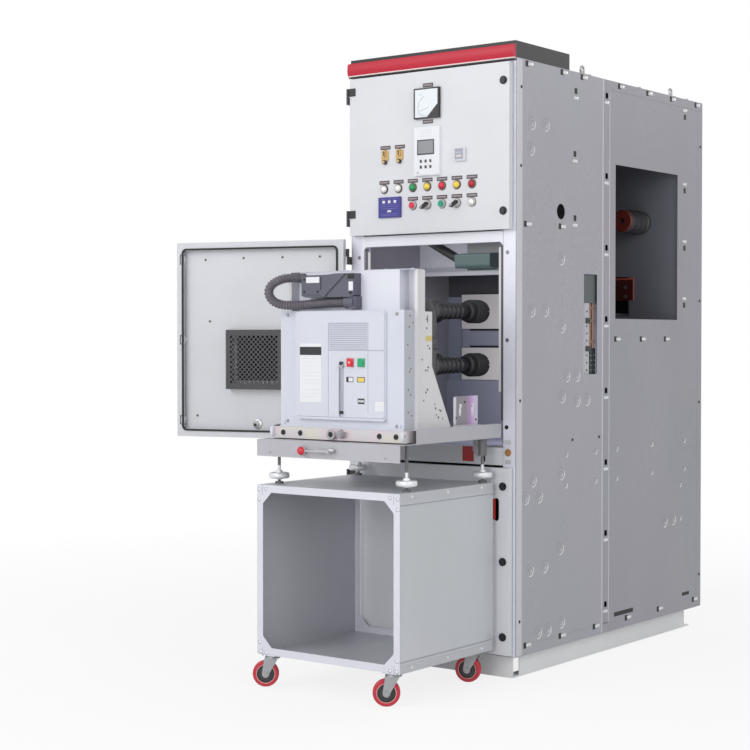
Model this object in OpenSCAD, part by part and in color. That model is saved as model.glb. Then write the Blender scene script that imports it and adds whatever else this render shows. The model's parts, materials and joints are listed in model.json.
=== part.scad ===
// Metal-clad high voltage switchgear cabinet with its withdrawable circuit breaker drawn out
// on the service trolley that hooks to the front. Millimetres, +Z up. The origin is the centre
// of the cabinet's footprint on the floor, the front faces -Y.

/* [Cabinet] */
// Width over the side walls
cab_w = 800; // [780:10:1000]
// Depth from the front posts to the rear covers
cab_d = 1580; // [1500:10:1900]
// Height of the sheet metal housing above its base channels
cab_h = 2300; // [2290:10:2700]
// Height of the base channels
base_h = 90; // [75:5:110]
// Width of a base channel
base_w = 50; // [40:1:60]
// Thickness of the base channels' flanges
base_t = 6; // [4:0.5:8]
// Radius of the floor anchor holes
anchor_r = 7; // [6:0.5:9]
// Thickness of the housing sheets
sheet = 2; // [1.5:0.5:3]
// Width of each front post's face
post_w = 62; // [50:1:70]
// Depth of each front post
post_d = 50; // [40:1:60]
// Outer radius of the posts' bends
bend_r = 4; // [3:0.5:6]
// Depth of the header beam and the sill panel
beam_d = 40; // [30:1:45]
// Height of the sill panel's lower edge, above the base channels
sill_z = 738; // [700:1:760]
// Height of the breaker opening's lower edge, above the base channels
opening_z = 812; // [806:1:816]
// Height of the header beam's lower edge, above the base channels
header_z = 1600; // [1560:1:1640]
// Height of the header beam
header_h = 42; // [30:1:60]
// Depth of the breaker compartment, from the front posts to the contact partition
comp_d = 700; // [690:10:760]
// Depth of the instrument compartment
inst_d = 480; // [350:10:500]
// How far the instrument compartment's back reaches below the header's top
inst_drop = 147; // [60:1:150]
// Depth of the bus compartment behind the contact partition
bus_d = 650; // [560:10:700]
// Height of the bus compartment's floor, above the base channels
bus_floor_z = 1000; // [900:10:1050]
// Height of the wiring duct on the roof
duct_h = 64; // [50:1:80]
// Depth of the wiring duct on the roof
duct_d = 401; // [300:1:450]
// Height of the red fascia
fascia_h = 54; // [40:1:60]
// Radius of a lifting eye's bore
eye_r = 9; // [7:0.5:12]

/* [Doors] */
// Folded depth of each door
door_t = 25; // [20:1:35]
// Gap between a door's folded edge and the posts
door_stand = 5; // [5:1:10]
// Margin from a door's edge to the side of the cabinet
door_margin = 15; // [12:1:20]
// Width of the lip folded in along a door's edges
door_lip = 34; // [20:1:36]
// Gap between doors
door_gap = 14; // [10:1:20]
// Radius of the hinge knuckles
knuckle_r = 6; // [5:0.5:6.5]
// Length of one hinge, over its knuckles
hinge_len = 64; // [50:1:90]
// Radius of a lock's bezel
lock_r = 16; // [12:1:18]
// Opening angle at which the breaker compartment's door stands
breaker_door_angle = 165; // [150:1:178]
// Width of the windows
window_w = 215; // [150:1:260]
// Height of the windows
window_h = 180; // [120:1:200]
// Pitch of the holes in the mesh guard
mesh_pitch = 21; // [16:1:26]
// Radius of the holes in the mesh guard
mesh_r = 5.5; // [4:0.5:6]
// Depth of the mesh guard
mesh_d = 36; // [20:1:40]
// Thickness of the door seal
seal_t = 4.5; // [3:0.5:5]
// Pitch of the lamps and switches
lamp_pitch = 70.5; // [60:0.5:80]
// Radius of a lamp's bezel
lamp_r = 17; // [14:0.5:18]
// Side of the square ammeter
ammeter_w = 120; // [72:1:120]

/* [Breaker] */
// Distance the breaker travels from the trolley to its test position
breaker_travel = 620; // [600:10:620]
// Width of the truck
truck_w = 630; // [600:5:640]
// Height of the truck
truck_h = 43; // [36:1:60]
// Depth of the truck
truck_d = 500; // [450:10:560]
// Distance from the front posts to the front of the drawn-out truck
truck_out = 605; // [600:5:625]
// Radius of the truck's rollers
roller_r = 15; // [12:1:18]
// Height of the mechanism housing
housing_h = 430; // [400:5:450]
// Depth of the mechanism housing
housing_d = 77; // [70:1:100]
// Thickness of the breaker's side plates
side_t = 3; // [2:0.5:5]
// Height of the plug box on top of the housing
plug_box_h = 148; // [120:1:160]
// Distance between the poles
pole_pitch = 210; // [180:1:210]
// Radius of a pole's body
pole_r = 74; // [60:1:76]
// Distance between the upper and the lower contact arm
contact_pitch = 207; // [180:1:240]
// Radius of a contact arm where it leaves its pole
arm_r = 30; // [26:1:34]
// Radius of a tulip contact's cage
tulip_r = 46; // [40:1:56]
// Number of fingers in a tulip contact
fingers = 12; // [8:2:20]
// Radius of a tulip contact's ring springs
spring_r = 5; // [4:0.5:6]

/* [Trolley] */
// Width of the trolley
trolley_w = 670; // [660:5:680]
// Depth of the trolley
trolley_d = 600; // [580:5:620]
// Height of the trolley's top over the floor
trolley_top = 766; // [740:1:766]
// Room between a caster's wheel and the trolley's underside
caster_room = 24; // [20:1:40]
// Radius of a caster's wheel
wheel_r = 50; // [40:1:62]
// Width of a caster's wheel
wheel_w = 32; // [24:1:36]
// Radius of a caster's axle
axle_r = 5; // [4:0.5:6]
// Distance from a caster's swivel axis back to its wheel's axis
trail = 28; // [22:1:34]
// Height from the trolley's top to the lift tray
lift = 109; // [100:1:109]
// Height of the lift tray
tray_h = 62; // [50:1:62]
// Width of the trolley's frame angles
angle_w = 28; // [22:1:35]
// Radius of the jacks' handwheels
handwheel_r = 39; // [30:1:42]
// Height of the guide rails
rail_h = 52; // [46:1:60]
// Width of the guide rails
rail_t = 16; // [12:1:18]

/* [Hidden] */
$fn = 48;
front_y = -cab_d / 2;
door_w = cab_w - 2 * door_margin;
hinge_x = -cab_w / 2 + knuckle_r + 1;
hinge_y = -(door_stand + door_t + 3);
face_y = -(door_stand + door_t);
lock_x = door_w / 2 - 26;
clear = 0.5;
inner_w = cab_w - 2 * sheet;
beam_x = cab_w / 2 - post_w;
floor_z = -base_h;
cable_door_z = [10, sill_z - 8];
breaker_door_z = [opening_z, header_z + header_h - 10];
inst_door_z = [breaker_door_z[1] + door_gap, cab_h - 17];
fascia_z = cab_h - 6;
joint_y = comp_d - 11;
bus_end = comp_d + bus_d;
// heights on the trolley and the breaker, above the base channels
caster_h = 2 * wheel_r + caster_room;
trolley_z = [caster_h - base_h, trolley_top - base_h];
tray_z = trolley_z[1] + lift;
rail_z = tray_z + tray_h + 1;
truck_z = rail_z + 4;
truck_top = truck_z + truck_h;
housing_z = truck_top + 6;
housing_top = housing_z + housing_h;
contact_z = [housing_z + 224, housing_z + 224 + contact_pitch];
rail_gap = 5;
rail_x = truck_w / 2 + rail_gap;
dock_gap = 64;
trolley_y = [-dock_gap - trolley_d, -dock_gap];
swivel_x = trolley_w / 2 - 50;
swivel_front = trolley_y[0] + 34;
swivel_rear = trolley_y[1] - 44;
swivels = [[-swivel_x, swivel_front, 217], [swivel_x, swivel_front, 217],
           [swivel_x, swivel_rear, 197], [-swivel_x, swivel_rear, 228]];
jack_x = 300;
jack_y = [trolley_y[0] + 88, trolley_y[1] - 20];
hook_x = 250;
// the breaker, from the mechanism housing back to the tulip contacts
housing_w = 2 * (pole_pitch + pole_r + 6);
housing_y = [-truck_out + 28, -truck_out + 28 + housing_d];
pole_y = housing_y[1] + 110;
boss_r = arm_r + 12;
boss_y = pole_y + pole_r + 16;
arm_tip_r = 20;
tulip_y = [-72, 46];
bore_gap = 12;
spout_r = tulip_r + bore_gap;
tulip_bore = tulip_r - 18;
pin_r = tulip_bore - clear;
spout_len = 150;
plug_y = [-530, pole_y - pole_r - 9];
hose_d = 36;
hose_y = -554;
// route of the conduit, from the housing's top edge upwards
hose_points = [for (p = [[8, 0, 30], [-30, 0, 30], [-68, 0, 30], [-106, -3, 28], [-144, -11, 25],
                         [-182, -24, 22], [-216, -40, 21], [-244, -54, 22], [-265, -65, 27],
                         [-281, -74, 36], [-292, -80, 49], [-298, -83, 65], [-298, -81, 82],
                         [-291, -74, 98], [-278, -62, 111], [-263, -46, 120], [-248, -30, 124],
                         [-231, -14, 125], [-218, -5, 124.5], [-206, -1, 124.1], [-197, 0, 124],
                         [-189, 0, 124]])
                   [p[0], hose_y + p[1], housing_top + p[2]]];

// moves the cabinet's own coordinates (front posts at y = 0, housing's underside at z = 0)
// into the part's frame
module in_cabinet() {
    translate([0, front_y, base_h]) children();
}

// a box centred on x, over a range of y and of z
module block(w, y, z) {
    translate([-w / 2, y[0], z[0]]) cube([w, y[1] - y[0], z[1] - z[0]]);
}

module box_at(x, y, z) {
    translate([x[0], y[0], z[0]]) cube([x[1] - x[0], y[1] - y[0], z[1] - z[0]]);
}

module both_sides() {
    children();
    mirror([1, 0, 0]) children();
}

module y_cylinder(r, len) {
    rotate([-90, 0, 0]) cylinder(r = r, h = len);
}

// turns a profile of radius and distance about the Y axis
module y_revolve() {
    rotate([-90, 0, 0]) rotate_extrude() children();
}

// extrudes an outline drawn in x and z, over a range of y
module along_y(y) {
    translate([0, y[1], 0]) rotate([90, 0, 0]) linear_extrude(y[1] - y[0]) children();
}

// extrudes an outline drawn in y and z, over a range of x
module along_x(x) {
    translate([x[0], 0, 0]) rotate([90, 0, 90]) linear_extrude(x[1] - x[0]) children();
}

// rectangle with round corners, over a range of each axis
module rounded(a, b, r) {
    translate([a[0] + r, b[0]]) square([a[1] - a[0] - 2 * r, b[1] - b[0]]);
    translate([a[0], b[0] + r]) square([a[1] - a[0], b[1] - b[0] - 2 * r]);
    for (p = [a[0] + r, a[1] - r], q = [b[0] + r, b[1] - r]) translate([p, q]) circle(r);
}

// upright slot with round ends
module slot(x, z, w) {
    translate([x - w / 2, z[0] + w / 2]) square([w, z[1] - z[0] - w]);
    for (q = [z[0] + w / 2, z[1] - w / 2]) translate([x, q]) circle(d = w);
}

// channel bent from sheet across the cabinet, open to the rear
module cross_channel(w, y, z) {
    difference() {
        block(w, y, z);
        block(w + 2, [y[0] + sheet, y[1] + 1], [z[0] + sheet, z[1] - sheet]);
    }
}

// sheet metal door: a plate with folded edges and lips, children are cut out of it
module folded_door(z) {
    difference() {
        block(door_w, [face_y, -door_stand], z);
        block(door_w - 2 * sheet, [face_y + sheet, -door_stand - sheet], [z[0] + sheet, z[1] - sheet]);
        block(door_w - 2 * door_lip, [-door_stand - sheet - 1, 0], [z[0] + door_lip, z[1] - door_lip]);
        children();
    }
}

function hinge_heights(z) = [z[0] + 70, z[1] - 70];
function lock_heights(z, n) = [for (i = [0:n - 1]) z[0] + 70 + i * (z[1] - z[0] - 140) / (n - 1)];

// half of a hinge that belongs to the door: the upper knuckle and its leaf on the door's face
module door_knuckle(z) {
    translate([hinge_x, hinge_y, z + clear]) cylinder(r = knuckle_r, h = hinge_len / 2 - clear);
    box_at([hinge_x + 2, -door_w / 2 + 30], [hinge_y, face_y], [z + clear, z + hinge_len / 2]);
}

// half of a hinge that belongs to the post: the lower knuckle and its leaf on the post
module post_knuckle(z) {
    translate([hinge_x, hinge_y, z - hinge_len / 2]) cylinder(r = knuckle_r, h = hinge_len / 2);
    box_at([-cab_w / 2, -cab_w / 2 + 3], [hinge_y, bend_r], [z - hinge_len / 2, z]);
}

// bezel and key insert outside, cam inside the door's fold
module cam_locks(z, n) {
    for (h = lock_heights(z, n))
        translate([lock_x, 0, h]) {
            translate([0, face_y - 4, 0])
                difference() {
                    y_cylinder(lock_r, 4);
                    translate([0, -1, 0]) y_cylinder(lock_r - 3, 3);
                }
            translate([0, face_y - 7, 0]) y_cylinder(lock_r - 6, 7 + door_t - 3);
            box_at([-9, 9], [-door_stand - 7, -door_stand - 1], [-lock_r, lock_r]);
        }
}

// gaps in the door's lip round the cams
module cam_notches(z, n) {
    for (h = lock_heights(z, n))
        box_at([lock_x - 13, lock_x + 13], [-door_stand - sheet - 1, 0], [h - lock_r - 4, h + lock_r + 4]);
}

module base_channels() {
    color("dimgray") in_cabinet() {
        side_x = [cab_w / 2 - 40 - base_w, cab_w / 2 - 40];
        for (y = [40, (cab_d - base_w) / 2, cab_d - 40 - base_w])
            difference() {
                block(cab_w - 80, [y, y + base_w], [floor_z, 0]);
                block(cab_w - 79, [y + base_t - 1, y + base_w + 1], [floor_z + base_t, -base_t]);
                if (y != (cab_d - base_w) / 2)
                    for (x = [-1, 1])
                        translate([x * (cab_w / 2 - 120), y + base_w / 2, floor_z - 1])
                            cylinder(r = anchor_r, h = base_t + 3);
            }
        both_sides()
            difference() {
                box_at(side_x, [40 + base_w, cab_d - 40 - base_w], [floor_z, 0]);
                box_at([side_x[0] - 1, side_x[1] - base_t + 1], [39 + base_w, cab_d - 39 - base_w],
                       [floor_z + base_t, -base_t]);
            }
    }
}

// floor with two split gland plates over the cable compartment
module floor_plate() {
    color("gainsboro") in_cabinet() {
        block(inner_w, [0, cab_d - sheet], [0, 3]);
        for (x = [-1, 1])
            translate([x * 130, 0, 0]) block(240, [comp_d + 150, comp_d + 550], [3, 3 + sheet]);
    }
}

module wall_sheet(x, y) {
    box_at(x, y, [3, cab_h - sheet]);
}

module left_side_wall() {
    color("lightsteelblue") in_cabinet() {
        wall_sheet([-cab_w / 2, -cab_w / 2 + sheet], [post_d, joint_y - 1]);
        wall_sheet([-cab_w / 2, -cab_w / 2 + sheet], [joint_y + 1, cab_d]);
    }
}

module right_wall_front() {
    color("lightsteelblue") in_cabinet()
        difference() {
            wall_sheet([cab_w / 2 - sheet, cab_w / 2], [post_d, joint_y - 1]);
            // cable hole and the slot over the interlock linkage
            translate([cab_w / 2 - 10, 328, 1732]) rotate([0, 90, 0]) cylinder(r = 31, h = 20);
            box_at([cab_w / 2 - 10, cab_w / 2 + 10], [511, 619], [1081, 1490]);
        }
}

module right_wall_rear() {
    color("lightsteelblue") in_cabinet()
        difference() {
            wall_sheet([cab_w / 2 - sheet, cab_w / 2], [joint_y + 1, cab_d]);
            // where the main busbars run on into the next cabinet
            box_at([cab_w / 2 - 10, cab_w / 2 + 10], [comp_d + 72, bus_end - 13], [1310, 1955]);
        }
}

// a post's section: a channel with round bends, open to the rear, and a lip
module post_section() {
    difference() {
        union() {
            translate([bend_r, 0]) square([post_w - 2 * bend_r, post_d]);
            translate([0, bend_r]) square([post_w, post_d - bend_r]);
            for (x = [bend_r, post_w - bend_r]) translate([x, bend_r]) circle(bend_r);
        }
        translate([sheet, bend_r]) square([post_w - 2 * sheet, post_d]);
        translate([bend_r, sheet]) square([post_w - 2 * bend_r, post_d]);
        for (x = [bend_r, post_w - bend_r]) translate([x, bend_r]) circle(bend_r - sheet);
    }
    translate([0, post_d - sheet]) square([14, sheet]);
}

module front_posts() {
    color("aliceblue") in_cabinet() {
        both_sides() {
            translate([beam_x, 0, 3]) linear_extrude(cab_h - sheet - 3) post_section();
            // strip that the breaker compartment's seal closes on
            box_at([beam_x - 16, beam_x], [12, 12 + sheet], [rail_z + rail_h + 9, header_z - 6]);
        }
        for (z = [inst_door_z, breaker_door_z, cable_door_z])
            for (h = hinge_heights(z)) post_knuckle(h);
    }
}

module header_beam() {
    color("whitesmoke") in_cabinet() {
        cross_channel(2 * beam_x, [0, beam_d], [header_z, header_z + header_h]);
        both_sides()
            along_y([0, sheet])
                polygon([[beam_x, header_z], [beam_x - 14, header_z], [beam_x, header_z - 14]]);
    }
}

// cross panel between the two lower doors, with slots for the trolley's hooks
module sill_panel() {
    color("gainsboro") in_cabinet()
        difference() {
            cross_channel(2 * beam_x, [0, beam_d], [sill_z, opening_z - 6]);
            both_sides()
                box_at([hook_x - 8, hook_x + 8], [-1, sheet + 1], [tray_z - 36, tray_z + 3]);
        }
}

// roof with three pressure relief flaps on raised collars
module roof_plates() {
    color("lightsteelblue") in_cabinet() {
        block(cab_w, [0, cab_d], [cab_h - sheet, cab_h]);
        flap_d = (cab_d - duct_d - 60) / 3;
        for (i = [0:2]) {
            y = duct_d + 30 + i * flap_d;
            block(cab_w - 160, [y + 20, y + flap_d - 20], [cab_h, cab_h + 10]);
            block(cab_w - 120, [y + 4, y + flap_d - 4], [cab_h + 10, cab_h + 10 + sheet]);
        }
    }
}

module lifting_eyes() {
    eye_z = 25;
    color("silver") in_cabinet()
        for (x = [-1, 1], y = [540, cab_d - 264])
            translate([x * (cab_w / 2 - 28), y, cab_h]) {
                box_at([-20, 20], [-20, 20], [0, 4]);
                along_x([-3, 3])
                    difference() {
                        union() {
                            translate([-eye_r - 7, 3]) square([2 * eye_r + 14, eye_z - 3]);
                            translate([0, eye_z]) circle(eye_r + 7);
                        }
                        translate([0, eye_z]) circle(eye_r);
                    }
            }
}

// sheet duct for the control wires between cabinets, open underneath, with a front lip
module bus_wire_duct() {
    color("black") in_cabinet() {
        difference() {
            block(cab_w - 4, [-6, duct_d - 6], [cab_h, cab_h + duct_h]);
            block(cab_w - 4 - 2 * sheet, [-6 + sheet, duct_d - 6 - sheet],
                  [cab_h - 1, cab_h + duct_h - sheet]);
        }
        block(cab_w - 4, [-20, 0], [inst_door_z[1] + 6, fascia_z]);
        block(cab_w - 4, [-6, 0], [fascia_z, cab_h]);
    }
}

// extruded fascia with a bulged front and a thin bead along its lower edge
module fascia() {
    bulge_r = 70;
    color("crimson") in_cabinet()
        along_x([-cab_w / 2, cab_w / 2]) {
            intersection() {
                translate([-28, fascia_z + 4]) square([22, fascia_h - 4]);
                translate([-28 + bulge_r, fascia_z + fascia_h / 2 + 2]) circle(bulge_r, $fn = 96);
            }
            translate([-26, fascia_z]) square([20, 4]);
        }
}

// a cover with its edges folded forwards
module folded_cover(z) {
    difference() {
        block(inner_w, [cab_d - 18, cab_d], z);
        block(inner_w - 2 * sheet, [cab_d - 19, cab_d - sheet], [z[0] + sheet, z[1] - sheet]);
    }
}

module rear_covers() {
    color("lightsteelblue") in_cabinet()
        difference() {
            union() {
                folded_cover([3, 1140]);
                folded_cover([1144, cab_h - sheet]);
            }
            // clearance over the floor plate's gland side
            block(inner_w + 2, [cab_d - 19, cab_d - sheet], [0, 3]);
        }
}

module instrument_shell() {
    top = header_z + header_h;
    low = top - inst_drop;
    color("whitesmoke") in_cabinet() {
        block(2 * beam_x, [beam_d, post_d], [top - sheet, top]);
        block(inner_w, [post_d, inst_d], [top - sheet, top]);
        block(inner_w, [inst_d, inst_d + sheet], [low, cab_h - sheet]);
        // channel along the lower edge of the back
        block(inner_w, [inst_d - 16, inst_d], [low, low + sheet]);
        block(inner_w, [inst_d - 16, inst_d - 16 + sheet], [low, low + 16]);
    }
}

// floor of the breaker compartment, its upstand below the shutters, and the plate between them
module compartment_floor() {
    color("slategray") in_cabinet() {
        block(inner_w, [post_d + 2, comp_d], [opening_z - 8, opening_z - 6]);
        block(inner_w, [comp_d - 14, comp_d - 12], [opening_z - 6, contact_z[0] - 82]);
        block(2 * rail_x, [comp_d - 6, comp_d], [contact_z[0] + 66, contact_z[1] - 66]);
    }
}

module contact_partition() {
    color("slategray") in_cabinet()
        difference() {
            block(inner_w, [comp_d, comp_d + sheet], [3, cab_h - sheet]);
            for (x = [-1, 0, 1], z = contact_z)
                translate([x * pole_pitch, comp_d - 5, z]) y_cylinder(spout_r, 20);
        }
}

// cast contact boxes behind the partition: a flange, a ribbed body and the bore for the tulip
module contact_spouts() {
    wall = 8;
    color("firebrick") in_cabinet()
        for (x = [-1, 0, 1], z = contact_z)
            translate([x * pole_pitch, comp_d + sheet, z])
                y_revolve()
                    polygon([[spout_r, 0], [spout_r + 20, 0], [spout_r + 20, 12], [spout_r + wall, 16],
                             [spout_r + wall, 52], [spout_r + 14, 56], [spout_r + 14, 62],
                             [spout_r + wall, 66], [spout_r + wall, 92], [spout_r + 14, 96],
                             [spout_r + 14, 102], [spout_r + wall, 106], [spout_r, spout_len],
                             [pin_r + 0.3, spout_len], [pin_r + 0.3, spout_len - 12],
                             [spout_r - 10, spout_len - 12],
                             [spout_r, spout_len - 30]]);
}

// pair of shutters that close the spouts: sheets with folded edges
module shutters() {
    color("white") in_cabinet()
        for (z = [[contact_z[1] - 62, contact_z[1] + 88], [contact_z[0] - 78, contact_z[0] + 62]])
            difference() {
                block(2 * rail_x, [comp_d - 12, comp_d], z);
                block(2 * rail_x - 2 * sheet, [comp_d - 12 + sheet, comp_d + 1],
                      [z[0] + sheet, z[1] - sheet]);
            }
}

// a guide rail's section: the channel that keeps the truck down
module rail_section() {
    difference() {
        translate([rail_x, rail_z]) square([rail_t, rail_h]);
        translate([rail_x - 1, rail_z + sheet]) square([rail_t + 1 - sheet, rail_h - 2 * sheet]);
    }
}

// guide rails inside the compartment, on folded supports
module slide_rails() {
    low = opening_z - 6;
    color("silver") in_cabinet()
        both_sides()
            along_y([4, comp_d - 20]) {
                rail_section();
                difference() {
                    translate([rail_x - 34, low]) square([34 + rail_t, rail_z - low]);
                    translate([rail_x - 35, low + sheet])
                        square([35 + rail_t - sheet, rail_z - low - 2 * sheet]);
                }
            }
}

// socket for the breaker's control plug, hung under the instrument compartment
module control_socket() {
    top = header_z + header_h - sheet;
    color("seagreen") in_cabinet() {
        along_x([72, 238])
            difference() {
                rounded([60, 150], [1506, 1566], 12);
                translate([58, 1562]) square([50, 10]);
            }
        // mounting angle behind the cover
        box_at([72, 262], [150, 150 + sheet], [1500, top]);
        box_at([238, 262], [110, 150], [1500, 1500 + sheet]);
    }
}

// corrugated conduit that brings the wires down to the socket
module socket_conduit() {
    top = header_z + header_h - sheet;
    lean = 62;
    run = (top - 1538) / cos(lean);
    color("black") in_cabinet()
        translate([72, 104, 1538]) rotate([0, -lean, 0])
            difference() {
                translate([0, 0, -40]) cylinder(r = 18, h = run + 80);
                // cut level with the ceiling, and upright against the socket
                translate([0, 0, run]) rotate([0, lean, 0]) translate([-90, -40, 0]) cube([180, 80, 90]);
                rotate([0, lean, 0]) translate([0, -40, -90]) cube([90, 80, 180]);
            }
}

// rear sheet and floor of the bus compartment
module bus_compartment_sheets() {
    color("slategray") in_cabinet() {
        block(inner_w, [bus_end, bus_end + sheet], [bus_floor_z, cab_h - sheet]);
        block(inner_w, [comp_d + sheet, bus_end], [bus_floor_z, bus_floor_z + sheet]);
    }
}

// fixed contacts in the upper spouts with the branch bars bent up behind them
module busbars() {
    pin_y = comp_d + sheet + 80;
    bar_y = comp_d + sheet + spout_len;
    flag_y = bus_end - 180;
    color("peru") in_cabinet()
        for (x = [-1, 0, 1])
            translate([x * pole_pitch, 0, contact_z[1]]) {
                translate([0, pin_y, 0]) y_cylinder(pin_r, bar_y - pin_y);
                block(80, [bar_y, bar_y + 10], [-40, 40]);
                block(80, [bar_y, flag_y], [-5, 5]);
                block(80, [flag_y - 10, flag_y], [-5, 168]);
            }
}

// ribbed post insulators on the bus compartment's rear sheet
module bus_bushings() {
    length = 178;
    color("orangered") in_cabinet()
        for (x = [-1, 0, 1])
            translate([x * pole_pitch, bus_end, 1750]) mirror([0, 1, 0])
                y_revolve()
                    polygon([[0, 0], [52, 0], [52, 14], [44, 20], [42, 46], [56, 54], [56, 60],
                             [41, 66], [40, 92], [54, 100], [54, 106], [39, 112], [38, 138],
                             [50, 146], [50, length - 6], [44, length], [12, length],
                             [12, length - 20], [0, length - 20]]);
}

module cable_door() {
    color("whitesmoke") in_cabinet() {
        folded_door(cable_door_z) {
            z = (cable_door_z[0] + cable_door_z[1]) / 2 + 180;
            box_at([-window_w / 2, window_w / 2], [face_y - 1, face_y + sheet + 1],
                   [z - window_h / 2, z + window_h / 2]);
            along_y([face_y - 1, face_y + sheet + 1]) slot(door_w / 2 - 56, [526, 614], 24);
            cam_notches(cable_door_z, 3);
        }
        for (h = hinge_heights(cable_door_z)) door_knuckle(h);
        cam_locks(cable_door_z, 3);
    }
}

module cable_door_window() {
    z = (cable_door_z[0] + cable_door_z[1]) / 2 + 180;
    color("black") in_cabinet()
        block(window_w + 24, [face_y + sheet, face_y + sheet + 5],
              [z - window_h / 2 - 12, z + window_h / 2 + 12]);
}

module trolley_panels() {
    side_x = trolley_w / 2;
    color("silver") in_cabinet() {
        both_sides()
            box_at([side_x - 2 * sheet, side_x - sheet], [trolley_y[0] + sheet, trolley_y[1] - sheet],
                   [trolley_z[0] + sheet, trolley_z[1] - sheet]);
        for (z = [trolley_z[0], trolley_z[1] - sheet])
            block(trolley_w - 2 * sheet, [trolley_y[0] + sheet, trolley_y[1] - sheet], [z, z + sheet]);
    }
}

// end frame of the trolley: four angles and a gusset in each corner
module trolley_end(y) {
    x = trolley_w / 2 - angle_w;
    z = [trolley_z[0] + angle_w, trolley_z[1] - angle_w];
    gusset = 42;
    along_y([y, y + sheet])
        difference() {
            translate([-trolley_w / 2, trolley_z[0]]) square([trolley_w, trolley_z[1] - trolley_z[0]]);
            polygon([[-x, z[0] + gusset], [-x + gusset, z[0]], [x - gusset, z[0]], [x, z[0] + gusset],
                     [x, z[1] - gusset], [x - gusset, z[1]], [-x + gusset, z[1]], [-x, z[1] - gusset]]);
        }
}

module trolley_frame() {
    side_x = trolley_w / 2;
    color("whitesmoke") in_cabinet() {
        trolley_end(trolley_y[0]);
        trolley_end(trolley_y[1] - sheet);
        both_sides()
            for (z = [trolley_z[0], trolley_z[1] - angle_w])
                box_at([side_x - sheet, side_x], [trolley_y[0] + sheet, trolley_y[1] - sheet],
                       [z, z + angle_w]);
        for (s = swivels)
            box_at([s[0] - 32, s[0] + 32], [s[1] - 32, s[1] + 32], [trolley_z[0] - 4, trolley_z[0]]);
    }
}

// tray that the jacks raise to the rails' height, with its own rails, hooks and the latch's slot
module lift_tray() {
    side_x = trolley_w / 2;
    color("whitesmoke") in_cabinet() {
        block(trolley_w, [trolley_y[0] + sheet, 0], [rail_z - sheet, rail_z]);
        difference() {
            block(trolley_w, [trolley_y[0], trolley_y[0] + sheet], [tray_z, rail_z]);
            box_at([-110, 40], [trolley_y[0] - 1, trolley_y[0] + sheet + 1], [tray_z + 24, tray_z + 34]);
        }
        both_sides() {
            along_y([trolley_y[0] + 100, -8]) rail_section();
            along_x([hook_x - 3, hook_x + 3])
                polygon([[-70, rail_z - sheet], [-70, tray_z + 10], [-30, tray_z - 12], [-4, tray_z - 12],
                         [18, tray_z - 12], [18, tray_z - 30], [26, tray_z - 30], [26, tray_z - 8],
                         [-2, tray_z], [-2, rail_z - sheet]]);
        }
        // latch lever, its pin held through the slot
        translate([-100, trolley_y[0] - 20, tray_z + 29]) {
            sphere(r = 17);
            rotate([0, 90, 0]) cylinder(r = 4, h = 118);
        }
        translate([24, trolley_y[0] - 26, tray_z + 29]) {
            y_cylinder(7, 12);
            y_cylinder(4, 28 + sheet);
            translate([0, 26 + sheet, 0]) y_cylinder(12, 4);
        }
    }
}

// a jack: screw, nut and handwheel, the rear ones in guide sleeves
module jack(sleeve) {
    reach = tray_z + tray_h - 1 - trolley_z[1];
    cylinder(r = 6, h = reach);
    cylinder(r = 16, h = 8);
    translate([0, 0, 16])
        rotate_extrude()
            polygon([[0, 0], [14, 0], [14, 4], [handwheel_r - 5, 4], [handwheel_r - 1, 7], [handwheel_r, 11],
                     [handwheel_r, 19], [handwheel_r - 1, 23], [handwheel_r - 5, 26], [14, 26],
                     [12, 34], [0, 34]]);
    if (sleeve) translate([0, 0, reach - tray_h - 4]) cylinder(r = 17, h = tray_h + 4);
}

module jack_screws() {
    color("white") in_cabinet()
        for (x = [-jack_x, jack_x], y = jack_y)
            translate([x, y, trolley_z[1]]) jack(y == jack_y[1]);
}

// caster fork about its swivel axis, with the wheel towards +X
module caster_fork(s) {
    color("silver") in_cabinet()
        translate([s[0], s[1], 0]) rotate([0, 0, s[2]]) {
            top = trolley_z[0] - 4 - 0.3;
            axle_z = floor_z + wheel_r;
            leg_y = wheel_w / 2 + 3.5;
            crown = top - 8;
            // swivel bearing and the crown
            translate([0, 0, crown]) cylinder(r1 = 29, r2 = 25, h = 8);
            translate([0, 0, crown - 3]) cylinder(r = 26, h = 3);
            box_at([-20, trail - 2], [-leg_y, leg_y], [crown - 3, crown]);
            // tapered legs with round lower ends
            for (side = [-1, 1])
                translate([0, side * (leg_y + 1.5) - 1.5, 0])
                    along_y([0, 3]) {
                        polygon([[-20, crown], [trail + 4, crown], [trail + 14, axle_z + 4],
                                 [trail - 14, axle_z + 2]]);
                        translate([trail, axle_z]) circle(14);
                    }
            // axle bolt with its head and nut
            translate([trail, -leg_y - 8, axle_z]) y_cylinder(axle_r, 2 * leg_y + 16);
            translate([trail, -leg_y - 8, axle_z]) y_cylinder(9, 5);
            translate([trail, leg_y + 3, axle_z]) rotate([-90, 0, 0]) cylinder(r = 9, h = 5, $fn = 6);
        }
}

// wheel with a crowned tyre on a recessed core and a wide hub
module caster_wheel(s) {
    half = wheel_w / 2;
    color("crimson") in_cabinet()
        translate([s[0], s[1], 0]) rotate([0, 0, s[2]])
            translate([trail, 0, floor_z + wheel_r])
                y_revolve()
                    polygon([[axle_r + 0.05, -half - 2.5], [12, -half - 2.5], [12, -half + 6],
                             [wheel_r - 16, -half + 7], [wheel_r - 14, -half], [wheel_r - 5, -half],
                             [wheel_r - 1, -half + 4], [wheel_r, -half + 10], [wheel_r, half - 10],
                             [wheel_r - 1, half - 4], [wheel_r - 5, half], [wheel_r - 14, half],
                             [wheel_r - 16, half - 7], [12, half - 6], [12, half + 2.5],
                             [axle_r + 0.05, half + 2.5]]);
}

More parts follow.
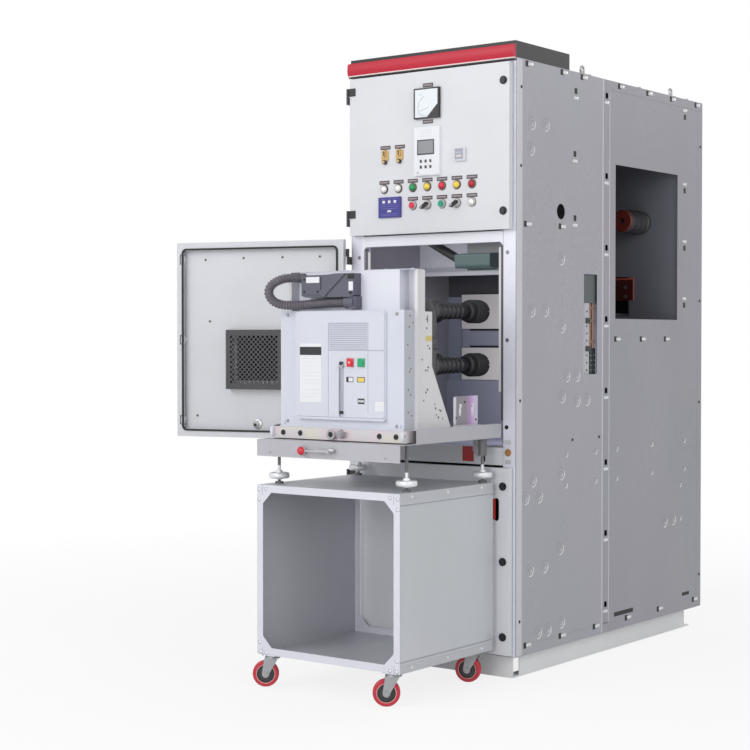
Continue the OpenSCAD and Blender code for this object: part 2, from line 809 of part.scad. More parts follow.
// places on the instrument door: columns of lamps, and heights from the door's top edge
function lamp_x(i) = 3.5 + i * lamp_pitch;
stem_r = 11;
lamp_z = inst_door_z[1] - 456;
switch_z = inst_door_z[1] - 527;
meter_x = [6 - ammeter_w / 2, 6 + ammeter_w / 2];
meter_z = [inst_door_z[1] - 129 - ammeter_w / 2, inst_door_z[1] - 129 + ammeter_w / 2];
relay_x = [-54, 68];
relay_z = [inst_door_z[1] - 413, inst_door_z[1] - 222];
heater_x = [137, 189];
heater_z = [inst_door_z[1] - 365, inst_door_z[1] - 315];
display_x = [-233, -123];
display_z = [inst_door_z[1] - 571, inst_door_z[1] - 489];
link_z = [inst_door_z[1] - 342, inst_door_z[1] - 303];

module instrument_door() {
    color("whitesmoke") in_cabinet() {
        folded_door(inst_door_z) {
            for (i = [-3:3]) translate([lamp_x(i), face_y - 1, lamp_z]) y_cylinder(stem_r + 0.3, 5);
            for (i = [-1:3]) translate([lamp_x(i), face_y - 1, switch_z]) y_cylinder(stem_r + 0.3, 5);
            for (p = [[meter_x, meter_z], [relay_x, relay_z],
                      [heater_x, heater_z], [display_x, display_z]])
                box_at([p[0][0] + 8, p[0][1] - 8], [face_y - 1, face_y + sheet + 1],
                       [p[1][0] + 8, p[1][1] - 8]);
            cam_notches(inst_door_z, 2);
        }
        for (h = hinge_heights(inst_door_z)) door_knuckle(h);
        cam_locks(inst_door_z, 2);
    }
}

// flush-mounted instrument: a bezel on the door's face and a case through the cut-out
module instrument(x, z, proud, deep) {
    box_at(x, [face_y - proud, face_y], z);
    box_at([x[0] + 8, x[1] - 8], [face_y, face_y + deep], [z[0] + 8, z[1] - 8]);
}

module panel_meters() {
    color("black") in_cabinet() {
        difference() {
            instrument(meter_x, meter_z, 14, 60);
            box_at([meter_x[0] + 5, meter_x[1] - 5], [face_y - 15, face_y - 12],
                   [meter_z[0] + 5, meter_z[1] - 5]);
        }
        difference() {
            instrument(relay_x, relay_z, 12, 78);
            box_at([-38, 44], [face_y - 13, face_y - 11], [inst_door_z[1] - 331, inst_door_z[1] - 274]);
        }
        instrument(heater_x, heater_z, 10, 50);
        instrument(display_x, display_z, 8, 40);
        for (x = [-203, -131]) box_at([x - 17, x + 17], [face_y - 5, face_y], link_z);
    }
}

// lamp: bezel, domed lens and the stem behind the door
module lamp() {
    lens = lamp_r - 3;
    y_revolve()
        polygon([[0, -15], [0.35 * lens, -14.4], [0.65 * lens, -12.6], [0.88 * lens, -9.6], [lens, -5],
                 [lamp_r - 1, -5], [lamp_r, -4], [lamp_r, 0], [stem_r, 0], [stem_r, 42], [0, 42]]);
}

module indicator_lamps() {
    color("gold") in_cabinet()
        for (i = [-3:3]) translate([lamp_x(i), face_y, lamp_z]) lamp();
}

// push button in a raised bezel
module push_button() {
    y_revolve()
        polygon([[0, -12], [lamp_r - 5, -12], [lamp_r - 4, -11], [lamp_r - 4, -8], [lamp_r - 1, -8],
                 [lamp_r, -7], [lamp_r, 0], [stem_r, 0], [stem_r, 46], [0, 46]]);
}

// rotary switch with a lever handle
module rotary_switch() {
    y_revolve()
        polygon([[0, -9], [lamp_r - 2, -9], [lamp_r, -7], [lamp_r, 0], [stem_r, 0], [stem_r, 50], [0, 50]]);
    rotate([0, -35, 0])
        along_y([-24, -8]) rounded([-26, 13], [-5, 5], 4.5);
}

module control_switches() {
    color("red") in_cabinet()
        for (i = [-1:3])
            translate([lamp_x(i), face_y, switch_z]) {
                if (i == 3) lamp();
                else if (i == 0 || i == 2) rotary_switch();
                else push_button();
            }
}

// turns the breaker compartment's door about its hinge to where it stands
module at_breaker_door() {
    in_cabinet()
        translate([hinge_x, hinge_y, 0]) rotate([0, 0, -breaker_door_angle])
            translate([-hinge_x, -hinge_y, 0]) children();
}

guard_x = [-113, 147];
guard_z = [1015, 1264];

module breaker_door() {
    z = guard_z[1] - 30 - window_h / 2;
    color("whitesmoke") at_breaker_door() {
        folded_door(breaker_door_z) {
            box_at([-window_w / 2 - 2, window_w / 2 - 2], [face_y - 1, face_y + sheet + 1],
                   [z - window_h / 2, z + window_h / 2]);
            // hole for the crank
            translate([16, face_y - 1, opening_z + 60]) y_cylinder(15, sheet + 2);
            cam_notches(breaker_door_z, 3);
        }
        for (h = hinge_heights(breaker_door_z)) door_knuckle(h);
        cam_locks(breaker_door_z, 3);
    }
}

// foam seal with round corners on the door's lips
module door_gasket() {
    x = door_w / 2 - door_lip + 10;
    z = [breaker_door_z[0] + door_lip - 10, breaker_door_z[1] - door_lip + 10];
    color("black") at_breaker_door()
        along_y([-door_stand, -door_stand + seal_t])
            difference() {
                rounded([-x, x], z, 22);
                rounded([-x + 8, x - 8], [z[0] + 8, z[1] - 8], 14);
            }
}

// perforated guard behind the window, a tray of sheet with staggered round holes
module mesh_guard() {
    back = face_y + sheet;
    count = floor((guard_x[1] - guard_x[0] - 50) / mesh_pitch);
    rows = floor((guard_z[1] - guard_z[0] - 50) / mesh_pitch);
    centre = [(guard_x[0] + guard_x[1]) / 2, (guard_z[0] + guard_z[1]) / 2];
    color("dimgray") at_breaker_door() {
        difference() {
            box_at(guard_x, [back, back + mesh_d - sheet], guard_z);
            box_at([guard_x[0] + sheet, guard_x[1] - sheet], [back - 1, back + mesh_d],
                   [guard_z[0] + sheet, guard_z[1] - sheet]);
        }
        along_y([back + mesh_d - sheet, back + mesh_d])
            difference() {
                translate([guard_x[0], guard_z[0]])
                    square([guard_x[1] - guard_x[0], guard_z[1] - guard_z[0]]);
                for (i = [0:count], k = [0:rows])
                    translate([centre[0] + (i - count / 2) * mesh_pitch,
                               centre[1] + (k - rows / 2) * mesh_pitch])
                        circle(mesh_r, $fn = 16);
                for (i = [0:count - 1], k = [0:rows - 1])
                    translate([centre[0] + (i + 0.5 - count / 2) * mesh_pitch,
                               centre[1] + (k + 0.5 - rows / 2) * mesh_pitch])
                        circle(mesh_r, $fn = 16);
            }
    }
}

// folded chassis with the racking screw, four rollers and a side bracket
module truck() {
    y = [-truck_out, -truck_out + truck_d];
    web = truck_w / 2;
    screw_x = -16;
    screw_z = truck_z + truck_h / 2;
    color("lightsteelblue") in_cabinet() {
        difference() {
            block(truck_w, y, [truck_z, truck_top]);
            block(truck_w - 2 * side_t, [y[0] + side_t, y[1] - side_t], [truck_z - 1, truck_top - side_t]);
            for (x = [-255, -172, 199, 274]) translate([x, y[0] - 1, screw_z]) y_cylinder(6, side_t + 2);
            translate([screw_x, y[0] - 1, screw_z]) y_cylinder(14, side_t + 2);
        }
        // racking screw in its socket
        translate([screw_x, y[0] - 14, screw_z])
            difference() {
                y_cylinder(18, 14 + side_t);
                translate([0, -1, 0]) y_cylinder(11, 20);
            }
        translate([screw_x, y[0] - 8, screw_z]) y_cylinder(8, truck_d + 5);
        for (x = [-1, 1], p = [60, truck_d - 60])
            translate([x * (web - 20), y[0] + p, rail_z + 0.3 + roller_r])
                rotate([0, 90, 0]) {
                    translate([0, 0, -6]) cylinder(r = roller_r, h = 12);
                    translate([0, 0, x > 0 ? 0 : -20]) cylinder(r = 5, h = 20);
                }
        // bracket that works the compartment's interlock
        box_at([web - 18, web], [-285, -110], [truck_top, truck_top + side_t]);
        box_at([web - 18, web - 18 + side_t], [-276, -116], [truck_top, truck_top + 116]);
    }
}

module mechanism_housing() {
    color("aliceblue") in_cabinet() {
        difference() {
            block(housing_w, housing_y, [housing_z, housing_top]);
            // seam under the lid
            for (y = [housing_y[0] - 1, housing_y[1] - 1])
                block(housing_w + 2, [y, y + 2], [housing_top - 16, housing_top - 14]);
        }
        block(housing_w, [housing_y[0] - 4, housing_y[1]], [truck_top, housing_z]);
        for (x = [-1, 1])
            translate([x * (housing_w / 2 - 18), housing_y[0] - 5, housing_z + 10]) y_cylinder(6, 5);
    }
}

// moulded cover: stepped edge, louvres, operating panel with the charging slot and buttons
module front_cover() {
    y = housing_y[0];
    z = [housing_z + 30, housing_top - 2];
    panel = [-50, 135];
    panel_top = housing_z + 284;
    color("white") in_cabinet()
        difference() {
            union() {
                along_y([y - 8, y]) rounded([-212, 212], z, 10);
                along_y([y - 12, y - 8]) rounded([-208, 208], [z[0] + 6, z[1] - 3], 8);
                along_y([y - 16, y - 4]) rounded([-196, 212], [z[0] - 4, z[0] + 5], 4);
                for (x = [48, 98])
                    box_at([x - 14, x + 14], [y - 15, y - 12], [housing_z + 218, housing_z + 254]);
            }
            // louvres
            for (i = [0:12])
                box_at(panel, [y - 13, y - 10], [panel_top + 4 + i * 7.8, panel_top + 6.6 + i * 7.8]);
            // seams of the operating panel
            box_at([panel[0] - 1, panel[0] + 1], [y - 13, y - 10.5], [z[0] + 4, z[1] - 46]);
            box_at([panel[1] - 1, panel[1] + 1], [y - 13, y - 10.5], [panel_top, z[1] - 46]);
            box_at([panel[0], 207], [y - 13, y - 10.5], [panel_top - 2, panel_top]);
            box_at([panel[0], panel[1]], [y - 13, y - 10.5], [z[1] - 48, z[1] - 46]);
            // slot of the charging lever, position indicators, counter and its pocket
            along_y([y - 13, y - 3]) slot(8, [housing_z + 37, housing_z + 242], 17);
            for (x = [48, 98]) box_at([x - 13, x + 13], [y - 13, y - 9], [housing_z + 166, housing_z + 184]);
            box_at([88, 112], [y - 13, y - 9], [housing_z + 91, housing_z + 107]);
        }
}

// folded side plates with feet on the truck, cut away towards the arms
module side_plates() {
    y = housing_y[1];
    in_x = housing_w / 2;
    color("white") in_cabinet()
        both_sides() {
            along_x([in_x, in_x + side_t])
                difference() {
                    polygon([[y - 14, truck_top], [y - 14, housing_top + plug_box_h - 1],
                             [y + 47, housing_top + plug_box_h - 1], [y + 47, housing_top - 5],
                             [y + 92, housing_top - 5], [y + 92, contact_z[0]],
                             [y + 167, housing_z + 83], [y + 214, truck_top]]);
                    for (p = [[66, 300], [66, 210], [30, 250], [40, 100],
                              [110, 84], [140, 62], [120, 44], [160, 30]])
                        translate([y + p[0], housing_z + p[1]]) circle(4, $fn = 20);
                    translate([y + 60, housing_top - 46]) rounded([0, 7], [0, 28], 3.4);
                }
            // front flange and foot
            box_at([in_x, in_x + 14], [y - 14, y - 14 + side_t],
                   [truck_top + side_t, housing_top + plug_box_h - 1]);
            box_at([in_x, in_x + 17], [y - 14, y + 214], [truck_top, truck_top + side_t]);
        }
}

// embedded poles: cast columns with sheds and a boss for each contact arm
module breaker_poles() {
    height = 480;
    color("dimgray") in_cabinet()
        for (x = [-1, 0, 1])
            translate([x * pole_pitch, pole_y, 0])
                difference() {
                    union() {
                        translate([0, 0, truck_top])
                            rotate_extrude()
                                polygon([[0, 0], [pole_r + 4, 0], [pole_r + 4, 16], [pole_r - 8, 24],
                                         [pole_r - 8, 60], [pole_r + 3, 68], [pole_r + 3, 74],
                                         [pole_r - 6, 82], [pole_r - 3, 150], [pole_r, 180],
                                         [pole_r, 290], [pole_r + 4, 297], [pole_r + 4, 303],
                                         [pole_r, 310], [pole_r, 330], [pole_r + 4, 337],
                                         [pole_r + 4, 343], [pole_r, 350], [pole_r, height - 40],
                                         [pole_r - 14, height - 12], [pole_r - 30, height],
                                         [0, height]]);
                        for (z = contact_z) translate([0, 0, z]) y_cylinder(boss_r, boss_y - pole_y);
                    }
                    for (z = contact_z) translate([0, boss_y - pole_y - 20, z]) y_cylinder(arm_r, 30);
                }
}

// tapered arm: shed sleeve from the pole's boss and the bare stem for the tulip
module contact_arm() {
    root = boss_y - 20;
    sleeve = tulip_y[0] - 4 - root;
    sheds = 6;
    pitch = (sleeve - 60) / sheds;
    taper = 6;
    function radius(d) = arm_r - taper * d / sleeve;
    y_revolve()
        polygon(concat([[0, 0], [arm_r, 0], [arm_r, 36]],
                       [for (i = [0:sheds - 1]) let (d = 40 + i * pitch)
                            each [[radius(d), d], [radius(d) + 5, d + 5], [radius(d) + 5, d + 8],
                                  [radius(d + 13), d + 13]]],
                       [[radius(sleeve), sleeve], [arm_tip_r, sleeve], [arm_tip_r, sleeve + 24],
                        [0, sleeve + 24]]));
}

module contact_arms() {
    color("gray") in_cabinet()
        for (x = [-1, 0, 1], z = contact_z) translate([x * pole_pitch, boss_y - 20, z]) contact_arm();
}

// one length of a tulip's cage: fingers with gaps between them
module cage(bore, r, d) {
    along_y(d)
        difference() {
            circle(r);
            circle(bore);
            for (i = [0:fingers - 1]) rotate(i * 360 / fingers) translate([-1.2, bore - 4]) square([2.4, r]);
        }
}

// tulip contact: a cage of fingers on a collar
module tulip() {
    seat = tulip_r - 2 * spring_r - 0.3;
    length = tulip_y[1] - tulip_y[0];
    y_revolve()
        polygon([[arm_tip_r, 0], [tulip_r - 14, 0], [tulip_r - 8, 8], [tulip_r - 8, 24],
                 [tulip_r - 3, 24], [tulip_r - 3, 30], [arm_tip_r, 30]]);
    cage(tulip_bore, seat, [30, length - 16]);
    cage(tulip_bore, tulip_r - 3, [length - 16, length - 8]);
    cage(tulip_bore + 3, seat, [length - 8, length]);
}

module tulip_contacts() {
    color("black") in_cabinet()
        for (x = [-1, 0, 1], z = contact_z) translate([x * pole_pitch, tulip_y[0], z]) tulip();
}

// coiled rings round each tulip that press its fingers inwards
module ring_springs() {
    room = tulip_y[1] - tulip_y[0] - 48;
    count = floor(room / (2 * spring_r + 2));
    color("gray") in_cabinet()
        for (x = [-1, 0, 1], z = contact_z, i = [0:count - 1])
            translate([x * pole_pitch, tulip_y[0] + 31 + (i + 0.5) * room / count, z])
                y_revolve() translate([tulip_r - spring_r, 0]) circle(spring_r);
}

// box that carries the control plug, its back plate and a top plate over the side plates
module plug_box() {
    top = housing_top + plug_box_h - 1;
    box_w = housing_w - 110;
    color("aliceblue") in_cabinet() {
        difference() {
            block(box_w, plug_y, [housing_top, top]);
            block(box_w - 2 * sheet, [plug_y[0] + sheet, plug_y[1] + 1], [housing_top - 1, top - sheet]);
        }
        block(housing_w - 2, [plug_y[1], plug_y[1] + sheet], [housing_top, top]);
        block(housing_w + 14, [plug_y[0] - 2, plug_y[1] + sheet], [top, top + sheet]);
        for (x = [-230, -40, 140, 262]) translate([x, plug_y[1] - 12, top + sheet]) cylinder(r = 6, h = 4, $fn = 6);
    }
}

// heavy control plug with its locking lever and the gland of the conduit
module control_plug() {
    y = [hose_y - 28, plug_y[0]];
    z = housing_top;
    color("slategray") in_cabinet() {
        along_y([y[0] + 6, y[1]])
            polygon([[-189, z + 56], [-189, z + 126], [-176, z + 132], [-60, z + 134], [-30, z + 137],
                     [58, z + 137], [58, z + 56], [40, z + 50], [-170, z + 50]]);
        along_y([y[0], y[0] + 6]) {
            polygon([[-12, z + 137], [24, z + 137], [-66, z + 62], [-90, z + 78]]);
            translate([-82, z + 66]) circle(16);
        }
        along_y([y[0] + 2, y[0] + 6]) rounded([-184, -96], [z + 60, z + 128], 5);
        translate([8, hose_y, z + 30]) rotate([0, 90, 0]) cylinder(r = 23, h = 44);
        box_at([30, 62], [hose_y - 16, plug_y[0]], [z + 6, z + 52]);
    }
}

// a tube swept along the route's points
module tube(points, d, sides) {
    n = len(points);
    function unit(v) = v / norm(v);
    function dir(i) = unit(points[min(i + 1, n - 1)] - points[max(i - 1, 0)]);
    up = [0, 1, 0];
    rings = [for (i = [0:n - 1]) let (t = dir(i), a = unit(cross(t, up)), b = cross(a, t))
        for (k = [0:sides - 1]) points[i] + d / 2 * (cos(360 * k / sides) * a + sin(360 * k / sides) * b)];
    faces = concat(
        [[for (k = [0:sides - 1]) k]],
        [for (i = [0:n - 2], k = [0:sides - 1])
            [i * sides + (k + 1) % sides, i * sides + k,
             (i + 1) * sides + k, (i + 1) * sides + (k + 1) % sides]],
        [[for (k = [0:sides - 1]) n * sides - 1 - k]]);
    polyhedron(rings, faces);
}

module control_hose() {
    color("dimgray") in_cabinet() tube(hose_points, hose_d, 12);
}

base_channels();
floor_plate();
left_side_wall();
right_wall_front();
right_wall_rear();
front_posts();
header_beam();
sill_panel();
roof_plates();
lifting_eyes();
bus_wire_duct();
fascia();
rear_covers();
instrument_shell();
compartment_floor();
contact_partition();
contact_spouts();
shutters();
slide_rails();
control_socket();
socket_conduit();
bus_compartment_sheets();
busbars();
bus_bushings();
cable_door();
cable_door_window();
trolley_panels();
trolley_frame();
lift_tray();
jack_screws();
caster_fork(swivels[0]);  // caster_fork_1
caster_fork(swivels[1]);  // caster_fork_2
caster_fork(swivels[2]);  // caster_fork_3
caster_fork(swivels[3]);  // caster_fork_4
caster_wheel(swivels[0]);  // caster_wheel_1
caster_wheel(swivels[1]);  // caster_wheel_2
caster_wheel(swivels[2]);  // caster_wheel_3
caster_wheel(swivels[3]);  // caster_wheel_4
instrument_door();
panel_meters();
indicator_lamps();
control_switches();
breaker_door();
door_gasket();
mesh_guard();
truck();
mechanism_housing();
front_cover();
side_plates();
breaker_poles();
contact_arms();
tulip_contacts();
ring_springs();
plug_box();
control_plug();
control_hose();
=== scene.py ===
import json
import math

import bmesh
import bpy
from mathutils import Matrix, Vector


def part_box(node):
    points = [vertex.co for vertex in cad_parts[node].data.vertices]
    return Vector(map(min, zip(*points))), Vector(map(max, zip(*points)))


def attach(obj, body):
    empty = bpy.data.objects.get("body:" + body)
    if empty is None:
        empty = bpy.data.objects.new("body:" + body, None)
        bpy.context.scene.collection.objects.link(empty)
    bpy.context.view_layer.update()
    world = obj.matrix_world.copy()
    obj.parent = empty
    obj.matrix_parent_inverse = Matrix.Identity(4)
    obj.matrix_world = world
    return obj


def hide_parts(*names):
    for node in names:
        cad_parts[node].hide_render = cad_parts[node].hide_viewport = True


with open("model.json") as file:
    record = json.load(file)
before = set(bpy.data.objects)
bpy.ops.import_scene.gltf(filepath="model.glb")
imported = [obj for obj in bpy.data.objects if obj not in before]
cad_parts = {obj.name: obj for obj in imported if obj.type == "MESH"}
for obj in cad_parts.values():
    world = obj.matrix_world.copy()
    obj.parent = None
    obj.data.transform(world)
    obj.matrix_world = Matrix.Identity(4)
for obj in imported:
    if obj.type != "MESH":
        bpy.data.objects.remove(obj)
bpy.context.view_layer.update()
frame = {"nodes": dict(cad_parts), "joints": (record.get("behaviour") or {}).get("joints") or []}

nodes = frame["nodes"]
scene = bpy.context.scene
scene.view_settings.view_transform = "Standard"

# camera

cameraPlan = {"place": (3.820, -6.200, 1.318), "heading": 37.15, "tilt": -1.26, "lens": 80.0}

cameraData = bpy.data.cameras.new("camera")
cameraData.lens = cameraPlan["lens"]
cameraData.sensor_width = 36
camera = bpy.data.objects.new("camera", cameraData)
camera.location = cameraPlan["place"]
camera.rotation_euler = (math.radians(90 + cameraPlan["tilt"]), 0, math.radians(cameraPlan["heading"]))
scene.collection.objects.link(camera)
scene.camera = camera
print("camera placed")

# places: x across, y back from the front posts, z up from the housing's lower edge

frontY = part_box("header_beam")[0][1]
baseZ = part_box("floor_plate")[0][2]
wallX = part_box("right_wall_front")[1][0]
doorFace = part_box("cable_door_window")[0][1] - frontY - 0.002


def spot(x, y, z):
    return Vector((x, frontY + y, baseZ + z))


def reach(node, axis):
    # a node's lowest and highest value along an axis, in the places' own terms
    low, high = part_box(node)
    shift = (0, frontY, baseZ)[axis]
    return low[axis] - shift, high[axis] - shift


# mesh helpers

facing = {"x": Matrix.Rotation(math.radians(90), 4, "Y"), "-x": Matrix.Rotation(math.radians(-90), 4, "Y"),
          "y": Matrix.Rotation(math.radians(90), 4, "X"), "-y": Matrix.Rotation(math.radians(-90), 4, "X"),
          "z": Matrix.Identity(4)}


def about(middle, half):
    return middle - half, middle + half


def ruled(start, pitch, count):
    return [start + step * pitch for step in range(count)]


def block(bm, xs, ys, zs, round=0.0):
    # the ends of each range come in either order
    low, high = (spot(*(end(ends) for ends in (xs, ys, zs))) for end in (min, max))
    where = Matrix.Translation((low + high) / 2) @ Matrix.Diagonal((*(high - low), 1))
    made = bmesh.ops.create_cube(bm, size=1, matrix=where)["verts"]
    if round:
        bmesh.ops.bevel(bm, geom=list({edge for vert in made for edge in vert.link_edges}), offset=round,
                        offset_type="OFFSET", segments=2, profile=0.5, affect="EDGES", material=-1)


def disc(bm, place, axis, radius, depth, sides=20, tip=None):
    # a round piece whose far end looks along +x, -y or +z
    bmesh.ops.create_cone(bm, cap_ends=True, segments=sides, radius1=radius,
                          radius2=radius if tip is None else tip, depth=depth,
                          matrix=Matrix.Translation(place) @ facing[axis])


def turned(bm, place, axis, profile, steps=24):
    # spins a profile of radius and height round an axis
    verts = [bm.verts.new((radius, 0, height)) for radius, height in profile]
    edges = [bm.edges.new(pair) for pair in zip(verts, verts[1:])]
    before = set(bm.verts) - set(verts)
    bmesh.ops.spin(bm, geom=verts + edges, cent=(0, 0, 0), axis=(0, 0, 1), angle=math.tau, steps=steps,
                   use_merge=True)
    fresh = [vert for vert in bm.verts if vert not in before]
    bmesh.ops.transform(bm, matrix=Matrix.Translation(place) @ facing[axis], verts=fresh)


def plate(bm, corners, push):
    # a flat outline given its thickness
    face = bm.faces.new([bm.verts.new(corner) for corner in corners])
    grown = bmesh.ops.extrude_face_region(bm, geom=[face])["geom"]
    bmesh.ops.translate(bm, vec=push, verts=[item for item in grown if isinstance(item, bmesh.types.BMVert)])


def finish(bm, name, body, material, smooth=None, turn=None):
    # turns a bmesh into a finished piece that rides on a body
    if turn is not None:
        bmesh.ops.transform(bm, matrix=turn, verts=bm.verts)
    bmesh.ops.remove_doubles(bm, verts=bm.verts, dist=1e-6)
    bmesh.ops.recalc_face_normals(bm, faces=bm.faces)
    mesh = bpy.data.meshes.new(name)
    bm.to_mesh(mesh)
    bm.free()
    piece = bpy.data.objects.new(name, mesh)
    scene.collection.objects.link(piece)
    piece.data.materials.append(material)
    if smooth is not None:
        for face in mesh.polygons:
            face.use_smooth = True
        mesh.set_sharp_from_angle(angle=math.radians(smooth))
    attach(piece, body)
    return piece


def blocks(name, body, material, *parts, smooth=None, turn=None):
    # a finished piece made of blocks alone
    bm = bmesh.new()
    for part in parts:
        block(bm, *part)
    finish(bm, name, body, material, smooth, turn)


# shader maths; every finish is kept under its own name

finishes = {}


class Wire:
    def __init__(self, paint, socket):
        self.paint = paint
        self.socket = socket

    def sum(self, operation, first, second):
        return self.paint.add("ShaderNodeMath", {"operation": operation}, {0: first, 1: second})

    def __add__(self, other):
        return self.sum("ADD", self, other)

    def __radd__(self, other):
        return self.sum("ADD", other, self)

    def __sub__(self, other):
        return self.sum("SUBTRACT", self, other)

    def __rsub__(self, other):
        return self.sum("SUBTRACT", other, self)

    def __mul__(self, other):
        return self.sum("MULTIPLY", self, other)

    def __rmul__(self, other):
        return self.sum("MULTIPLY", other, self)

    def __gt__(self, other):
        return self.sum("GREATER_THAN", self, other)

    def __lt__(self, other):
        return self.sum("LESS_THAN", self, other)

    def __or__(self, other):
        return self.sum("MAXIMUM", self, other)

    def __abs__(self):
        return self.sum("ABSOLUTE", self, 0)


class Paint:
    def __init__(self, name, **fixed):
        self.material = finishes[name] = bpy.data.materials.new(name)
        self.material.use_nodes = True
        self.tree = self.material.node_tree
        self.surface = self.tree.nodes["Principled BSDF"]
        self.place = None
        self.axes = {}
        for socket, value in fixed.items():
            self.set(socket.replace("_", " "), value)

    def put(self, socket, value):
        if isinstance(value, Wire):
            self.tree.links.new(value.socket, socket)
        elif isinstance(value, tuple) and len(value) == 3 and socket.type == "RGBA":
            socket.default_value = (*value, 1)
        else:
            socket.default_value = value

    def set(self, socket, value):
        self.put(self.surface.inputs[socket], value)

    def add(self, kind, settings=None, inputs=None, output=0):
        made = self.tree.nodes.new(kind)
        for key, value in (settings or {}).items():
            if key == "stops":
                ramp = made.color_ramp
                ramp.interpolation = (settings.get("shape") or "LINEAR")
                while len(ramp.elements) < len(value):
                    ramp.elements.new(0.5)
                for stop, (at, colour) in zip(ramp.elements, value):
                    stop.position = at
                    stop.color = colour if len(colour) == 4 else (*colour, 1)
            elif key != "shape":
                setattr(made, key, value)
        for key, value in (inputs or {}).items():
            self.put(made.inputs[key], value)
        return Wire(self, made.outputs[output])

    def at(self):
        if self.place is None:
            self.place = self.add("ShaderNodeTexCoord", output="Object")
        return self.place

    def along(self, axis):
        # the place along one axis, in the places' own terms
        if not self.axes:
            split = self.add("ShaderNodeSeparateXYZ", None, {0: self.at()})
            outputs = split.socket.node.outputs
            self.axes = {"x": Wire(self, outputs[0]), "y": Wire(self, outputs[1]) - frontY,
                         "z": Wire(self, outputs[2]) - baseZ}
        return self.axes[axis]

    def inside(self, axis, low, high):
        place = self.along(axis)
        return (place > low) * (place < high)

    def near(self, centre, radius):
        gap = self.add("ShaderNodeVectorMath", {"operation": "DISTANCE"}, {0: self.at(), 1: tuple(centre)}, 1)
        return gap < radius

    def noise(self, scale, detail=3.0, roughness=0.5, stretch=(1, 1, 1)):
        place = self.add("ShaderNodeMapping", None, {"Vector": self.at(), "Scale": stretch})
        return self.add("ShaderNodeTexNoise", None,
                        {"Vector": place, "Scale": scale, "Detail": detail, "Roughness": roughness})

    def cells(self, scale, output="Color"):
        return self.add("ShaderNodeTexVoronoi", None, {"Vector": self.at(), "Scale": scale}, output)

    def ramp(self, value, *stops, shape="LINEAR"):
        return self.add("ShaderNodeValToRGB", {"shape": shape, "stops": stops}, {"Fac": value})

    def blend(self, factor, first, second, kind="MIX"):
        return self.add("ShaderNodeMix", {"data_type": "RGBA", "blend_type": kind},
                        {0: factor, 6: first, 7: second}, 2)

    def marked(self, coat, marks):
        for mark in marks or []:
            mask, other = mark(self)
            coat = self.blend(mask, coat, other)
        return coat

    def bump(self, height, strength, distance=0.001):
        self.set("Normal", self.add("ShaderNodeBump", None,
                                    {"Height": height, "Strength": strength, "Distance": distance}))


def shade(colour, factor):
    return tuple(min(1.0, channel * factor) for channel in colour)


blackPart = (0.015, 0.015, 0.018)


def powderCoat(name, colour, roughness=0.42, peel=0.25, dirt=0.95, marks=None, turn=None):
    # sprayed coat with orange peel; marks picks out what is another colour
    paint = Paint(name)
    if turn is not None:
        back = turn.inverted()
        paint.place = paint.add("ShaderNodeMapping", None,
                                {"Vector": paint.at(), "Location": tuple(back.to_translation()),
                                 "Rotation": tuple(back.to_quaternion().to_euler())})
    fine = paint.noise(650, 2)
    broad = paint.noise(3.5, 4, 0.6)
    coat = paint.blend(paint.ramp(broad, (0.35, (0, 0, 0)), (0.7, (1, 1, 1))), shade(colour, dirt), colour)
    finishLevel = roughness + (broad - 0.5) * 0.12 + (fine - 0.5) * 0.1
    paint.set("Base Color", paint.marked(coat, marks))
    paint.set("Roughness", finishLevel)
    paint.bump(fine, peel, 0.0004)
    return paint.material


def galvanised(name, colour, metallic=0.55, roughness=0.42, spangle=90, contrast=0.10, marks=None):
    # zinc spangle with a soft mottling; marks picks out painted or moulded parts
    paint = Paint(name)
    flakes = paint.cells(spangle)
    level = paint.add("ShaderNodeSeparateColor", None, {"Color": flakes})
    broad = paint.noise(2.2, 5, 0.62, (1, 1, 0.45))
    grit = paint.noise(240, 4, 0.7)
    coat = paint.blend(level * 0.6 + grit * 0.4, shade(colour, 1 - contrast),
                       shade(colour, 1 + contrast * 0.6))
    coat = paint.blend(paint.ramp(broad, (0.38, (1, 1, 1)), (0.66, (0, 0, 0))), shade(colour, 0.9), coat)
    cast = paint.noise(0.9, 3, 0.55)
    warm, cool = (tuple(channel * tone for channel, tone in zip(colour, tones))
                  for tones in ((1.04, 0.985, 1.02), (0.95, 1.01, 0.985)))
    patches = paint.ramp(cast, (0.4, (0, 0, 0)), (0.6, (1, 1, 1)))
    coat = paint.blend(0.5, coat, paint.blend(patches, warm, cool))
    metal = metallic
    for mark in marks or []:
        mask, other = mark(paint)
        coat = paint.blend(mask, coat, other)
        metal = metal * (1 - mask)
    paint.set("Base Color", coat)
    paint.set("Metallic", metal)
    paint.set("Roughness", roughness + (level - 0.5) * 0.12 + (broad - 0.5) * 0.2)
    paint.bump(level * 0.5 + grit * 0.5, 0.12, 0.0003)
    return paint.material


def moulded(name, colour, roughness=0.5, metallic=0.0, grain=500, depth=0.2, spread=0.06, marks=None):
    # moulded, cast or turned piece with a fine grain and uneven gloss
    paint = Paint(name, Metallic=metallic)
    fine = paint.noise(grain, 3)
    broad = paint.noise(9, 4, 0.6)
    coat = paint.blend(broad, shade(colour, 1 - spread), shade(colour, 1 + spread))
    paint.set("Base Color", paint.marked(coat, marks))
    paint.set("Roughness", roughness + (broad - 0.5) * 0.2 + (fine - 0.5) * 0.1)
    paint.bump(fine, depth, 0.0004)
    return paint.material


